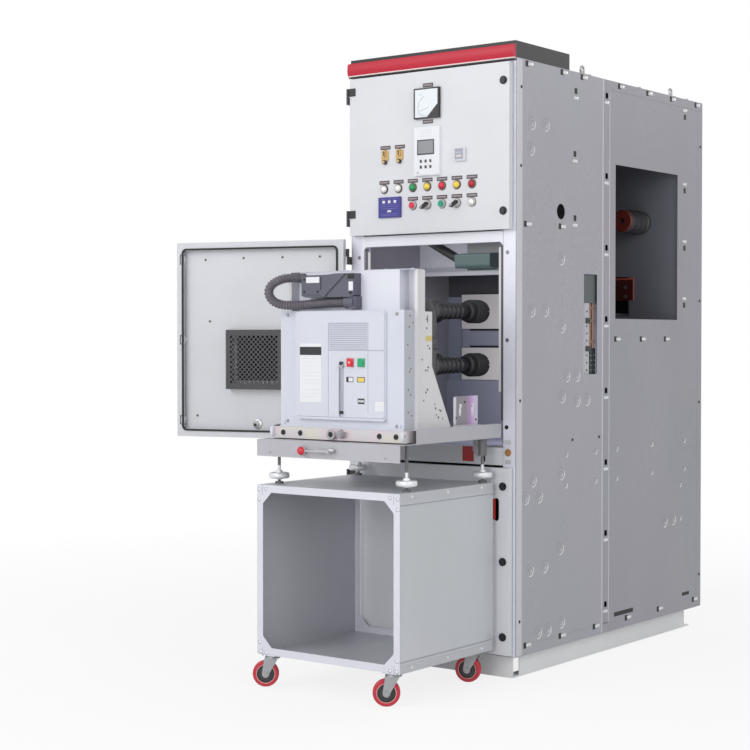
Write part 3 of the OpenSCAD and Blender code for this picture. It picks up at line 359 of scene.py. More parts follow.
def passivated(name):
    # bright zinc with the faint rainbow of its passivation; the bracket above carries a painted sheen
    paint = Paint(name)
    cloud = paint.noise(6, 3, 0.5, (1, 0.4, 1))
    grit = paint.noise(420, 3, 0.6)
    rainbow = paint.ramp(cloud, (0.36, (0.62, 0.60, 0.62)), (0.46, (0.70, 0.54, 0.60)),
                         (0.52, (0.62, 0.60, 0.63)), (0.58, (0.70, 0.66, 0.50)), (0.66, (0.56, 0.60, 0.66)))
    # painted sheen and shade: above 0.9025 m the bracket runs from dark at the front to bright at the back,
    # tinted with the passivation's own purple
    bracket = paint.ramp((paint.along("y") + 0.28) * 6, (0.0, (0.24, 0.22, 0.25)), (0.5, (0.27, 0.25, 0.28)),
                         (0.68, (0.46, 0.28, 0.52)), (0.84, (0.62, 0.50, 0.70)), (1.0, (0.60, 0.58, 0.64)))
    coat = paint.blend(grit, shade((0.62, 0.60, 0.62), 0.96), rainbow)
    paint.set("Base Color", paint.blend(paint.along("z") > 0.9025, coat, bracket))
    paint.set("Metallic", 0.6)
    paint.set("Roughness", 0.28 + cloud * 0.16)
    paint.bump(grit, 0.08, 0.0003)
    return paint.material

# corrugated hose of the control plug

hosePlan = {"diameter": 0.0365, "groove": 0.0034, "pitch": 0.0104, "sides": 18,
            "front": -0.554, "lift": 1.331,
            "route": [(8, 0, 30), (-30, 0, 30), (-68, 0, 30), (-106, -3, 28), (-144, -11, 25),
                      (-182, -24, 22),
                      (-216, -40, 21), (-244, -54, 22), (-265, -65, 27), (-281, -74, 36), (-292, -80, 49),
                      (-298, -83, 65), (-298, -81, 82), (-291, -74, 98), (-278, -62, 111), (-263, -46, 120),
                      (-248, -30, 124), (-231, -14, 125), (-218, -5, 124.5), (-206, -1, 124.1),
                      (-197, 0, 124), (-189, 0, 124)]}


def smoothRoute(points, step):
    # evenly spaced places on a curve through the points
    ends = [points[0] * 2 - points[1], *points, points[-1] * 2 - points[-2]]
    fine = []
    for a, b, c, d in zip(ends, ends[1:], ends[2:], ends[3:]):
        for part in range(12):
            t = part / 12
            fine.append(0.5 * (2 * b + (c - a) * t + (2 * a - 5 * b + 4 * c - d) * t * t
                               + (3 * b - a - 3 * c + d) * t ** 3))
    fine.append(points[-1])
    even, left = [fine[0]], step
    for start, end in zip(fine, fine[1:]):
        gap = (end - start).length
        while left <= gap:
            even.append(start.lerp(end, left / gap))
            left += step
        left -= gap
    return even


def buildHose(plan):
    points = [spot(x / 1000, plan["front"] + y / 1000, plan["lift"] + z / 1000) for x, y, z in plan["route"]]
    line = smoothRoute(points, plan["pitch"] / 4)
    bm = bmesh.new()
    radius = plan["diameter"] / 2
    ring = bmesh.ops.create_circle(bm, cap_ends=True, segments=plan["sides"], radius=radius)["verts"]
    heading = (line[1] - line[0]).normalized()
    turn = Vector((0, 0, 1)).rotation_difference(heading).to_matrix().to_4x4()
    last = Matrix.Translation(line[0]) @ turn
    bmesh.ops.transform(bm, matrix=last, verts=ring)
    edges = list({edge for vert in ring for edge in vert.link_edges})
    for count in range(1, len(line)):
        grown = bmesh.ops.extrude_edge_only(bm, edges=edges)["geom"]
        edges = [item for item in grown if isinstance(item, bmesh.types.BMEdge)
                 and all(vert in grown for vert in item.verts)]
        fresh = [item for item in grown if isinstance(item, bmesh.types.BMVert)]
        way = (line[min(count + 1, len(line) - 1)] - line[count - 1]).normalized()
        turn = (heading.rotation_difference(way).to_matrix().to_4x4()) @ turn
        heading = way
        width = 1.0 if count % 4 < 2 else 1 - plan["groove"] / radius
        place = Matrix.Translation(line[count]) @ turn @ Matrix.Scale(width, 4)
        bmesh.ops.transform(bm, matrix=place @ last.inverted(), verts=fresh)
        last = place
    bmesh.ops.contextual_create(bm, geom=edges)
    hose = finish(bm, "controlHose", "breaker", hosePlastic(), 50)
    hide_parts("control_hose")
    length = sum((end - start).length for start, end in zip(line, line[1:]))
    return length


def hosePlastic():
    paint = Paint("hosePlastic", Roughness=0.5)
    dust = paint.noise(30, 4, 0.6)
    paint.set("Base Color", paint.blend(dust, (0.075, 0.068, 0.09), (0.15, 0.14, 0.165)))
    paint.bump(paint.noise(900, 2), 0.2, 0.0003)
    return paint.material


hoseLength = buildHose(hosePlan)
print("hose made,", round(hoseLength, 3), "m")


# marks: where a node's finish gives way to another

brass = (0.55, 0.38, 0.15)
wallZinc = (0.37, 0.365, 0.405)


def proudOfDoor(paint):
    # locks and hinges stand in front of the door's face
    return (paint.along("y") < doorFace - 0.0004) | (paint.along("x") < -0.3855), blackPart


def hingeStrips(paint):
    return paint.along("y") < -0.0005, blackPart


def outerFlank(paint):
    return abs(paint.along("x")) > 0.3985, wallZinc


def sealStrip(paint):
    return abs(paint.along("x")) < 0.3375, (0.10, 0.10, 0.115)


def trolleyFlank(paint):
    return abs(paint.along("x")) > 0.3343, (0.47, 0.48, 0.515)


def shadeBehindDisc(paint):
    # painted shade: the red insulator beyond its disc is painted near-black grey, where the bus compartment
    # lies in shade
    return paint.along("y") > 1.184, (0.045, 0.046, 0.054)


def buttonRow(colours, proud):
    # the caps of a row of lamps or switches, each in its own colour
    def mark(paint):
        stops = [(max(0.0, (x - 0.035 + 0.25) * 2), colour) for x, colour in colours]
        across = (paint.along("x") + 0.25) * 2
        return paint.along("y") < doorFace - proud, paint.ramp(across, *stops, shape="CONSTANT")
    return mark


lampWhite, lampYellow = (0.82, 0.82, 0.80), (0.80, 0.56, 0.07)
lampRow = [(-0.208, lampWhite), (-0.1375, lampWhite), (-0.067, (0.01, 0.28, 0.09)), (0.0035, lampYellow),
           (0.074, (0.60, 0.02, 0.05)), (0.1445, lampYellow), (0.215, (0.40, 0.012, 0.02))]
switchRow = [(-0.25, (0.62, 0.03, 0.07)), (0.0035, blackPart), (0.074, (0.01, 0.30, 0.20)),
             (0.1445, blackPart), (0.215, lampWhite)]


def relayCase(paint):
    return paint.inside("x", -0.0545, 0.069) * (paint.along("z") < 2.07), (0.80, 0.81, 0.85)


def heaterCase(paint):
    return paint.along("x") > 0.1, (0.62, 0.63, 0.68)


def displayCase(paint):
    return (paint.along("x") < -0.1) * (paint.along("z") < 1.85), (0.045, 0.04, 0.24)


def linkStrips(paint):
    return (paint.along("x") < -0.1) * (paint.along("z") > 1.85), brass


def trolleyHandwheels(paint):
    high = reach("jack_screws", 2)[1]
    return paint.inside("z", high - 0.155, high - 0.1), (0.72, 0.73, 0.76)


def wheelTread(number):
    low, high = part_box(f"caster_wheel_{number}")
    centre = (low + high) / 2

    def mark(paint):
        return paint.near(centre, 0.0355), (0.03, 0.03, 0.033)
    return mark


def lipHighlight(paint):
    # painted highlight: the fascia's lowest 5 mm is painted pale pink along its lower lip
    return paint.along("z") < reach("fascia", 2)[0] + 0.005, (0.72, 0.60, 0.60)


def socketSheet(paint):
    return (paint.along("z") > 1.568) | (paint.along("x") > 0.2395), (0.50, 0.51, 0.54)


def busTails(paint):
    return paint.along("y") > 1.0, (0.022, 0.022, 0.026)


def busSleeves(paint):
    return (paint.along("y") > 1.0) * (paint.along("z") > 1.394), (0.10, 0.008, 0.006)


def lowerBack(paint):
    return paint.along("z") < 1.03, (0.24, 0.26, 0.34)


def shadedUpperBack(paint):
    # painted shade: the contact partition above 1.41 m is painted near black, at the shaded top of the
    # breaker compartment
    return paint.along("z") > 1.41, (0.06, 0.062, 0.07)


def leverBall(paint):
    return paint.near(spot(-0.1, reach("lift_tray", 1)[0] + 0.004, 0.814), 0.0185), (0.55, 0.02, 0.03)


def shadowedSide(paint):
    return paint.along("x") > 0.2895, (0.45, 0.47, 0.52)


def darkRoof(paint):
    return paint.noise(1.3, 3) > 0.62, (0.24, 0.24, 0.27)


breakerDoorHinge = next(joint for joint in frame["joints"] if joint["name"] == "breaker_door_hinge")["pos_m"]
hingeLine = Matrix.Translation((breakerDoorHinge[0], breakerDoorHinge[1], 0))
doorTurn = hingeLine @ Matrix.Rotation(math.radians(-165), 4, "Z") @ hingeLine.inverted()

# finishes

powderCoat("doorCoat", (0.675, 0.685, 0.72), marks=[proudOfDoor])
# painted shade: the open breaker door takes a darker copy of the door paint
powderCoat("openDoorShadedCoat", (0.605, 0.615, 0.65), marks=[proudOfDoor], turn=doorTurn)
powderCoat("beamCoat", (0.83, 0.84, 0.90), 0.38)
galvanised("wallSheet", wallZinc, contrast=0.26)
galvanised("rearWallSheet", shade(wallZinc, 0.87), contrast=0.26)
galvanised("roofSheet", (0.36, 0.36, 0.39), marks=[darkRoof])
galvanised("postSheet", (0.76, 0.78, 0.86), 0.25, 0.38, 140, 0.06,
         marks=[sealStrip, outerFlank, hingeStrips])
powderCoat("linerSheet", (0.17, 0.175, 0.21), 0.5)
powderCoat("backSheet", (0.26, 0.28, 0.37), 0.5, marks=[lowerBack, shadedUpperBack])
powderCoat("midSheet", (0.30, 0.31, 0.41), 0.42)
powderCoat("redCoat", (0.48, 0.005, 0.028), 0.42, marks=[lipHighlight])
powderCoat("blackCoat", (0.012, 0.012, 0.014), 0.42)
moulded("zinc", (0.42, 0.42, 0.43), 0.32, 0.6, 300, 0.06)
moulded("forkZinc", (0.34, 0.345, 0.36), 0.38, 0.35, 300, 0.06)
moulded("redInsulator", (0.115, 0.016, 0.012), 0.5, marks=[shadeBehindDisc])
powderCoat("palePlate", (0.80, 0.77, 0.78), 0.45)
galvanised("railZinc", (0.48, 0.47, 0.50), 0.7, 0.34, 260, 0.10)
passivated("truckZinc")
moulded("jackZinc", (0.13, 0.13, 0.135), 0.4, 0.35, 300, 0.08, marks=[trolleyHandwheels])
galvanised("trolleyPanel", (0.53, 0.54, 0.575), 0.2, 0.4, 150, 0.06)
powderCoat("frameCoat", (0.65, 0.66, 0.73), 0.36, marks=[trolleyFlank])
powderCoat("trayCoat", (0.43, 0.43, 0.465), 0.36, marks=[leverBall])
powderCoat("plateCoat", (0.68, 0.67, 0.69), 0.4)
powderCoat("baseCoat", (0.80, 0.81, 0.82), 0.5)
powderCoat("breakerCoat", (0.595, 0.62, 0.70), 0.4, marks=[shadowedSide])
powderCoat("boxCoat", (0.68, 0.69, 0.76), 0.4)
moulded("spoutResin", (0.30, 0.05, 0.025), 0.3)
moulded("busCopper", (0.50, 0.23, 0.12), 0.32, 0.85, marks=[busTails, busSleeves])
moulded("socketPlastic", (0.11, 0.165, 0.17), 0.22, marks=[socketSheet])
moulded("windowPane", (0.03, 0.033, 0.037), 0.1, 0, 40, 0.02)
moulded("meterCase", (0.02, 0.02, 0.022), 0.4,
         marks=[relayCase, heaterCase, displayCase, linkStrips])
moulded("lampBezel", (0.16, 0.13, 0.11), 0.35, 0.2, 700, 0.1,
         marks=[buttonRow(lampRow, 0.0052)])
moulded("switchBezel", (0.50, 0.48, 0.47), 0.3, 0.3, 700, 0.1,
         marks=[buttonRow(switchRow, 0.0095)])
moulded("sealRubber", (0.012, 0.012, 0.012), 0.7)
moulded("guardSteel", (0.06, 0.06, 0.065), 0.45, 0.4)
moulded("coverPlastic", (0.59, 0.61, 0.68), 0.45, 0, 900, 0.15, 0.02)
moulded("poleResin", (0.028, 0.028, 0.032), 0.32)
moulded("armResin", (0.010, 0.010, 0.013), 0.4)
moulded("tulipSilver", (0.008, 0.008, 0.009), 0.55)
moulded("springSteel", (0.022, 0.022, 0.026), 0.5, 0.3)
moulded("plugPlastic", (0.095, 0.095, 0.13), 0.5)
moulded("conduitPlastic", (0.035, 0.035, 0.038), 0.45)

finishNodes = {
    "forkZinc": "",
    "baseCoat": "base_channels", "wallSheet": "floor_plate left_side_wall right_wall_front rear_covers",
    "rearWallSheet": "right_wall_rear", "postSheet": "front_posts",
    "beamCoat": "header_beam instrument_shell", "doorCoat": "sill_panel cable_door instrument_door",
    "roofSheet": "roof_plates", "zinc": "lifting_eyes", "blackCoat": "bus_wire_duct", "redCoat": "fascia",
    "midSheet": "compartment_floor", "backSheet": "contact_partition", "spoutResin": "contact_spouts",
    "palePlate": "shutters", "railZinc": "slide_rails", "socketPlastic": "control_socket",
    "conduitPlastic": "socket_conduit control_hose", "linerSheet": "bus_compartment_sheets",
    "busCopper": "busbars", "redInsulator": "bus_bushings", "windowPane": "cable_door_window",
    "trolleyPanel": "trolley_panels", "frameCoat": "trolley_frame", "trayCoat": "lift_tray",
    "jackZinc": "jack_screws", "meterCase": "panel_meters", "lampBezel": "indicator_lamps",
    "switchBezel": "control_switches", "openDoorShadedCoat": "breaker_door", "sealRubber": "door_gasket",
    "guardSteel": "mesh_guard", "truckZinc": "truck", "breakerCoat": "mechanism_housing",
    "coverPlastic": "front_cover", "plateCoat": "side_plates", "poleResin": "breaker_poles",
    "armResin": "contact_arms", "tulipSilver": "tulip_contacts", "springSteel": "ring_springs",
    "boxCoat": "plug_box", "plugPlastic": "control_plug",
}
for number in range(1, 5):
    moulded(f"wheelTread{number}", (0.48, 0.02, 0.04), 0.42, marks=[wheelTread(number)])
    finishNodes["forkZinc"] += f"caster_fork_{number} "
    finishNodes[f"wheelTread{number}"] = f"caster_wheel_{number}"
for finishName, members in finishNodes.items():
    for name in members.split():
        nodes[name].data.materials.clear()
        nodes[name].data.materials.append(finishes[finishName])
print("node finishes set")


def arc(bm, place, axis, radius, wide, high, start=0, sweep=359.9, steps=10):
    # a raised ring or part of one, spun from its own section
    first = Matrix.Rotation(math.radians(start), 4, "Z")
    section = ((-0.5, 0), (0.5, 0), (0.3, high), (-0.3, high))
    corners = [bm.verts.new(first @ Vector((radius + across * wide, 0, up))) for across, up in section]
    face = bm.faces.new(corners)
    before = set(bm.verts) - set(corners)
    bmesh.ops.spin(bm, geom=[*corners, *face.edges, face], cent=(0, 0, 0), axis=(0, 0, 1),
                   angle=math.radians(sweep), steps=steps)
    fresh = [vert for vert in bm.verts if vert not in before]
    bmesh.ops.transform(bm, matrix=Matrix.Translation(place) @ facing[axis], verts=fresh)


# painted shade: near-black stand-ins for the dark inside of slots, holes and recesses
recessShade = moulded("recessShade", (0.006, 0.006, 0.007), 0.6)
# pale zinc: a painted highlight on the wall's folded tabs and the lit arcs of the knock-outs; the bracket
# slots and trolley rivets use it too
highlightAndBrightZinc = galvanised("highlightAndBrightZinc", (0.70, 0.70, 0.72), 0.35, 0.3, 300, 0.06)
# darker zinc: painted shade on the shaded arcs of the knock-outs; the roof seam and the rivet seats use it
# too
shadeAndSeamZinc = galvanised("shadeAndSeamZinc", (0.26, 0.26, 0.29), 0.5, 0.4, 200, 0.08)
seamZinc = galvanised("seamZinc", (0.33, 0.32, 0.37), 0.5, 0.45, 120, 0.10)
# paler zinc: a painted highlight along the walls' folded edge strips and beside the seam
edgeZinc = galvanised("edgeZinc", (0.55, 0.54, 0.59), 0.5, 0.4, 120, 0.08)
steelScrew = moulded("steelScrew", (0.35, 0.34, 0.36), 0.35, 0.8)
blackSteel = moulded("blackSteel", (0.02, 0.02, 0.022), 0.4, 0.3)

# side wall: slots with folded tabs, knock-outs, holes and seams

wallSkin = (wallX - 0.001, wallX + 0.0003)
wallPlan = {
    "slot": (0.0105, 0.0115), "tab": (0.018, 0.006), "gaps": (0.026, 0.029),
    # lit or in shade, radius, width, height, start, sweep, steps
    "arcs": [(True, 0.025, 0.0045, 0.0012, -15, 130), (False, 0.025, 0.0028, 0.0006, 150, 150),
             (False, 0.011, 0.003, 0.0006, 120, 200), (True, 0.0105, 0.003, 0.0009, -10, 100, 6)],
    "smallArcs": [(True, 0.0115, 0.0045, 0.001, -20, 140, 8), (False, 0.0115, 0.0025, 0.0005, 150, 150, 8)],
    "tabBelow": [(0.695, z) for z in (2.233, 1.901, 1.604, 1.308, 1.011, 0.713, 0.417, 0.119)]
    + [(0.443, 2.223), (0.436, 1.970), (0.438, 1.712)],
    "tabAbove": [(1.405, z) for z in (2.219, 1.890, 1.633, 1.377)],
    "tabBeside": [(y, 1.225) for y in (0.774, 0.999, 1.221)] + [(0.063, 1.669), (0.321, 1.673)]
    + [(y, 0.038) for y in (0.065, 0.328, 0.601, 0.874, 1.164, 1.505)]
    + [(y, 2.285) for y in (0.072, 0.333, 0.49, 0.80, 1.05, 1.27, 1.51)],
    "holes": [(0.032, 2.191), (0.03, 1.89), (0.026, 0.988), (0.025, 0.136), (1.56, 2.1), (1.559, 1.399),
              (1.557, 0.937), (1.565, 0.147), (0.422, 0.819), (0.638, 0.821)],
    "knockOuts": [(0.109, 2.06), (0.212, 2.063), (0.102, 1.96), (0.333, 1.545), (0.109, 1.336),
                  (0.211, 1.338),
                  (0.337, 1.275), (0.376, 1.079), (0.455, 1.078), (0.340, 0.995), (0.458, 0.977),
                  (0.538, 0.978), (0.335, 0.688), (0.121, 0.674), (0.069, 0.61), (0.168, 0.609),
                  (0.329, 0.39), (0.103, 0.327), (0.209, 0.33), (0.338, 0.093), (0.235, 0.077),
                  (0.163, 0.076), (1.223, 0.418), (1.305, 0.422)],
    "smallOnes": [(0.376, 0.762), (0.372, 0.639), (0.61, 0.763), (0.611, 0.642), (0.788, 0.765),
                  (0.789, 0.642), (1.1, 0.768), (1.101, 0.646), (1.411, 0.769), (1.412, 0.644),
                  (1.373, 0.573), (1.374, 0.422)],
    "slots": [(0.769, 0.935, 0.0565, 0.0745), (1.395, 1.464, 0.067, 0.082)],
}


def wallDetails(plan):
    dark, bright, shadow = bmesh.new(), bmesh.new(), bmesh.new()
    wide, tall = plan["slot"]
    tabWide, tabTall = plan["tab"]
    for key, across, up in (("tabBelow", 0, -1), ("tabAbove", 0, 1), ("tabBeside", 1, 0)):
        for y, z in plan[key]:
            block(dark, wallSkin, about(y, wide), about(z, tall))
            y, z = y + across * plan["gaps"][0], z + up * plan["gaps"][1]
            # the folded tabs in pale zinc, a painted highlight
            block(bright, (wallX - 0.001, wallX + 0.002), about(y, tabWide),
                  about(z, tabTall), 0.0008)
    for low, high, bottom, top in plan["slots"]:
        block(dark, wallSkin, (low, high), (bottom, top))
    for y, z in plan["holes"]:
        disc(dark, spot(wallX, y, z), "x", 0.0065, 0.002, 16)
    for places, arcs in ((plan["knockOuts"], plan["arcs"]), (plan["smallOnes"], plan["smallArcs"])):
        for y, z in places:
            for lit, *form in arcs:
                # lit arcs carry a painted highlight, the others painted shade
                arc(bright if lit else shadow, spot(wallX - 0.0002, y, z), "x", *form)
    # the slots and holes in painted shade
    finish(dark, "wallSlots", "cabinet", recessShade)
    finish(bright, "wallTabs", "cabinet", highlightAndBrightZinc, 40)
    finish(shadow, "knockOutShadeArcs", "cabinet", shadeAndSeamZinc, 40)


def wallSeams():
    low = reach("right_wall_front", 2)[0]
    top = reach("right_wall_rear", 2)[1]
    rear = reach("right_wall_rear", 1)[1]
    blocks("wallSeams", "cabinet", seamZinc,
           (wallSkin, (0.676, 0.716), (low + 0.002, top - 0.05)),
           (wallSkin, (0.05, rear - 0.03), (low + 0.0365, low + 0.039)),
           (wallSkin, (rear - 0.046, rear - 0.0445), (low + 0.04, top - 0.05)))
    blocks("roofSeam", "cabinet", shadeAndSeamZinc,
           (wallSkin, (0.722, rear - 0.006), (top - 0.0385, top - 0.0355)))
    # pale strips along the front edge and beside the seam: painted highlights
    blocks("wallEdges", "cabinet", edgeZinc,
           ((wallX - 0.001, wallX + 0.0008), (0.6605, 0.668), (low + 0.002, top - 0.002), 0.0006),
           ((wallX - 0.001, wallX + 0.0006), (0.002, 0.040), (low + 0.002, top - 0.002), 0.0004),
           ((wallX - 0.001, wallX + 0.0006), (0.7185, 0.7235), (low + 0.04, top - 0.05), 0.0004))
    bm = bmesh.new()
    for y in (0.0, 0.676, 1.54):
        block(bm, (-wallX - 0.0005, -wallX + 0.001), (y + 0.004, y + 0.040),
              (low + 0.004, top - 0.004), 0.0003)
    finish(bm, "leftWallEdges", "cabinet", edgeZinc)


slotPlan = {"bottom": 1.078, "top": 1.494, "plateFoot": 1.372, "strip": (0.530, 0.566),
            "rods": (0.585, 0.612), "holePitch": 0.030, "blocks": (1.300, 1.186)}


def interlockSlot(plan):
    # the plate, perforated strip and rods that show through the tall slot in the wall
    blocks("slotPlate", "cabinet", moulded("slotPlateGrey", (0.085, 0.10, 0.105), 0.4, 0.4),
           ((0.390, 0.393), (0.505, 0.634), (plan["plateFoot"], plan["top"] + 0.01), 0.0008))
    bm = bmesh.new()
    low, high = plan["strip"]
    block(bm, (0.390, 0.3925), (low, high), (plan["bottom"] - 0.01, plan["plateFoot"]), 0.0006)
    block(bm, (0.384, 0.392), (low - 0.004, low), (plan["bottom"] - 0.01, plan["plateFoot"]), 0.0006)
    finish(bm, "slotStrip", "cabinet", finishes["frameCoat"])
    bm = bmesh.new()
    block(bm, (0.350, 0.352), (0.50, 0.66), (1.07, 1.50))
    for z in ruled(plan["bottom"] + 0.02, plan["holePitch"], 9):
        disc(bm, spot(0.3928, (low + high) / 2, z), "x", 0.0042, 0.0012, 10)
    for z in plan["blocks"]:
        block(bm, (0.3925, 0.3975), (low + 0.008, high + 0.004), about(z, 0.011), 0.0015)
    for y in plan["rods"]:
        block(bm, (0.372, 0.390), about(y, 0.0105), (plan["bottom"] - 0.006, 1.188), 0.002)
    finish(bm, "slotBlocks", "cabinet", blackSteel)
    bm = bmesh.new()
    for y in plan["rods"]:
        disc(bm, spot(0.381, y, 1.28), "z", 0.0085, 0.19, 16)
        for z in (1.215, 1.300, 1.352):
            disc(bm, spot(0.381, y, z), "z", 0.0105, 0.012, 6)
    finish(bm, "slotRods", "cabinet", moulded("rodCopper", (0.26, 0.15, 0.11), 0.4, 0.5), 40)
    bm = bmesh.new()
    for z in (1.098, 1.118, 1.138, 1.158):
        for y in plan["rods"]:
            block(bm, (0.3898, 0.3906), about(y, 0.0085), about(z, 0.001))
    finish(bm, "slotLines", "cabinet", moulded("slotLine", (0.30, 0.28, 0.24), 0.4))


wallDetails(wallPlan)
wallSeams()
interlockSlot(slotPlan)
print("side wall detailed")

# front posts, sill and bolts


def postDetails():
    bm = bmesh.new()
    screws = [(x, z) for x in (-0.359, 0.359) for z in (1.558, 1.221)]
    for x, z in screws:
        disc(bm, spot(x, -0.0012, z), "y", 0.0085, 0.003, 20, 0.007)
    finish(bm, "postScrews", "cabinet", steelScrew, 30)
    bm = bmesh.new()
    for x, z in screws:
        block(bm, about(x, 0.0012), (-0.0031, -0.002), about(z, 0.005))
    disc(bm, spot(0.356, -0.0003, 0.886), "y", 0.0085, 0.001, 20)
    finish(bm, "postHoles", "cabinet", recessShade)
    bm = bmesh.new()
    place = spot(0.363, 0, 0.788)
    disc(bm, place + Vector((0, -0.001, 0)), "y", 0.0145, 0.002, 24)
    disc(bm, place + Vector((0, -0.005, 0)), "y", 0.0105, 0.007, 6)
    disc(bm, place + Vector((0, -0.009, 0)), "y", 0.005, 0.006, 16)
    finish(bm, "earthBolt", "cabinet", moulded("brassBolt", (0.50, 0.30, 0.12), 0.35, 0.8), 30)
    bm = bmesh.new()
    for z in (0.828, 0.752):
        block(bm, (0.349, 0.376), (-0.0006, 0.0004), about(z, 0.008), 0.0002)
    finish(bm, "earthMarks", "cabinet", moulded("markPlate", (0.50, 0.50, 0.53), 0.4))


def openingEdges():
    # pale inner edges of the breaker compartment's seal strips, and the line down the housing's corner
    bm = bmesh.new()
    for turn in (-1, 1):
        block(bm, (turn * 0.3125, turn * 0.3225), (0.0105, 0.0135), (1.022, 1.580), 0.0006)
    finish(bm, "openingEdges", "cabinet", moulded("edgePale", (0.66, 0.65, 0.66), 0.4))
    low, high = reach("front_posts", 2)
    bm = bmesh.new()
    for turn in (-1, 1):
        block(bm, (turn * (wallX - 0.0035), turn * (wallX - 0.0015)), about(0, 0.0006),
              (low + 0.002, high - 0.002))
    finish(bm, "cornerLines", "cabinet", seamZinc)


def sillTag():
    low = reach("sill_panel", 1)[0]
    blocks("sillTag", "cabinet", moulded("tagRed", (0.45, 0.015, 0.02), 0.35),
           ((0.152, 0.204), (low - 0.0012, low + 0.0005), (0.748, 0.806), 0.0004))


def slotBar():
    blocks("slotBar", "cabinet", moulded("barRed", (0.40, 0.02, 0.015), 0.4),
           ((0.311, 0.325), about(doorFace, 0.004), (0.531, 0.611), 0.003), smooth=40)


postDetails()
openingEdges()
sillTag()
slotBar()
print("posts and sill detailed")

# instrument door: label plates, meter face, relay, display and links

panelPlan = {
    "plates": [(x, 1.8535) for x in (-0.208, -0.1375, -0.067, 0.0035, 0.074, 0.1445, 0.215)]
    + [(x, 1.7825) for x in (-0.067, 0.0035, 0.074, 0.1445, 0.215)]
    + [(0.006, 2.226), (0.006, 2.082), (-0.203, 1.993), (-0.131, 1.993)],
    "plateSize": (0.0245, 0.0075),
    "meter": (0.006, 2.154), "relay": (-0.054, 0.068, 1.870, 2.061),
    "heater": (0.137, 0.189, 1.918, 1.968), "display": (-0.233, -0.123, 1.712, 1.794),
    "links": (-0.203, -0.131), "linkHeights": (1.941, 1.980),
    "rows": [(-3, 7, 1.827), (-1, 5, 1.756)], "rowMiddle": 0.0035, "rowPitch": 0.0705,
    "seal": {"radius": 0.0185, "wide": 0.0018, "high": 0.001},
    "handles": (0.0035, 0.1445), "handleTurn": -35,
    "proud": {"relay": 0.012, "heater": 0.010, "display": 0.008},
    "scale": {"radius": 0.052, "start": 118, "pitch": 9.2, "steps": 10, "needle": 196},
}
doorBody = "instrument_door_leaf"
plateDark = moulded("plateDark", (0.055, 0.045, 0.05), 0.4)
platePale = moulded("platePale", (0.62, 0.58, 0.58), 0.35)
dialWhite = moulded("dialWhite", (0.74, 0.78, 0.82), 0.3, 0, 60, 0.02, 0.02)
inkBlack = moulded("inkBlack", (0.02, 0.02, 0.024), 0.35)
caseWhite = moulded("caseWhite", (0.74, 0.75, 0.80), 0.35)
screenGrey = moulded("screenGrey", (0.27, 0.28, 0.30), 0.18, 0, 60, 0.02, 0.04)
screwDark = moulded("screwDark", (0.09, 0.085, 0.08), 0.4, 0.5)


def panelPlates(plan):
    dark, pale = bmesh.new(), bmesh.new()
    wide, tall = plan["plateSize"]
    for x, z in plan["plates"]:
        block(dark, about(x, wide), (doorFace - 0.0018, doorFace + 0.0004), about(z, tall), 0.0005)
        block(pale, (x - wide + 0.0035, x + wide - 0.0035), (doorFace - 0.0024, doorFace - 0.0015),
              (z - tall + 0.0045, z + tall - 0.0045), 0.0003)
    finish(dark, "labelPlates", doorBody, plateDark)
    finish(pale, "labelFaces", doorBody, moulded("labelFace", (0.30, 0.26, 0.27), 0.35))


def meterFace(plan):
    x, z = plan["meter"]
    front = reach("panel_meters", 1)[0]
    blocks("meterDial", doorBody, dialWhite,
           (about(x, 0.0545), (front + 0.0012, front + 0.0035), about(z, 0.0545)))
    bm = bmesh.new()
    centre = spot(x + 0.012, front + 0.0012, z - 0.018)
    scale = plan["scale"]
    arc(bm, centre, "y", scale["radius"], 0.0012, 0.0005, scale["start"], scale["pitch"] * scale["steps"], 24)
    for step in range(scale["steps"] + 1):
        angle = math.radians(scale["start"] + step * scale["pitch"])
        way = Vector((math.cos(angle), 0, math.sin(angle)))
        tick = centre + way * 0.0475
        long = 0.0045 if step % 5 == 0 else 0.003
        bmesh.ops.create_cube(bm, size=1, matrix=Matrix.Translation(tick) @ Matrix.Rotation(-angle, 4, "Y")
                              @ Matrix.Diagonal((long, 0.0008, 0.001, 1)))
    for low, high, level in ((-0.036, -0.012, -0.043), (-0.036, -0.02, 0.034), (-0.03, 0.01, -0.049)):
        block(bm, (x + low, x + high), (front + 0.0008, front + 0.0014), (z + level, z + level + 0.0012))
    needle = math.radians(scale["needle"])
    way = Vector((math.cos(needle), 0, math.sin(needle)))
    bmesh.ops.create_cube(bm, size=1, matrix=Matrix.Translation(centre + way * 0.022)
                          @ Matrix.Rotation(-needle, 4, "Y") @ Matrix.Diagonal((0.046, 0.001, 0.0014, 1)))
    finish(bm, "meterScale", doorBody, moulded("scaleInk", (0.30, 0.34, 0.40), 0.4))
    bm = bmesh.new()
    corner = [(0.055, -0.055), (0.055, -0.006), (0.048, -0.012), (0.012, -0.048), (0.006, -0.055)]
    plate(bm, [spot(x + across, front + 0.0018, z + up) for across, up in corner], Vector((0, -0.0022, 0)))
    finish(bm, "meterCorner", doorBody, inkBlack)
    bm = bmesh.new()
    disc(bm, spot(x + 0.034, front - 0.0006, z - 0.036), "y", 0.004, 0.0016, 16)
    finish(bm, "meterScrew", doorBody, screwDark, 30)


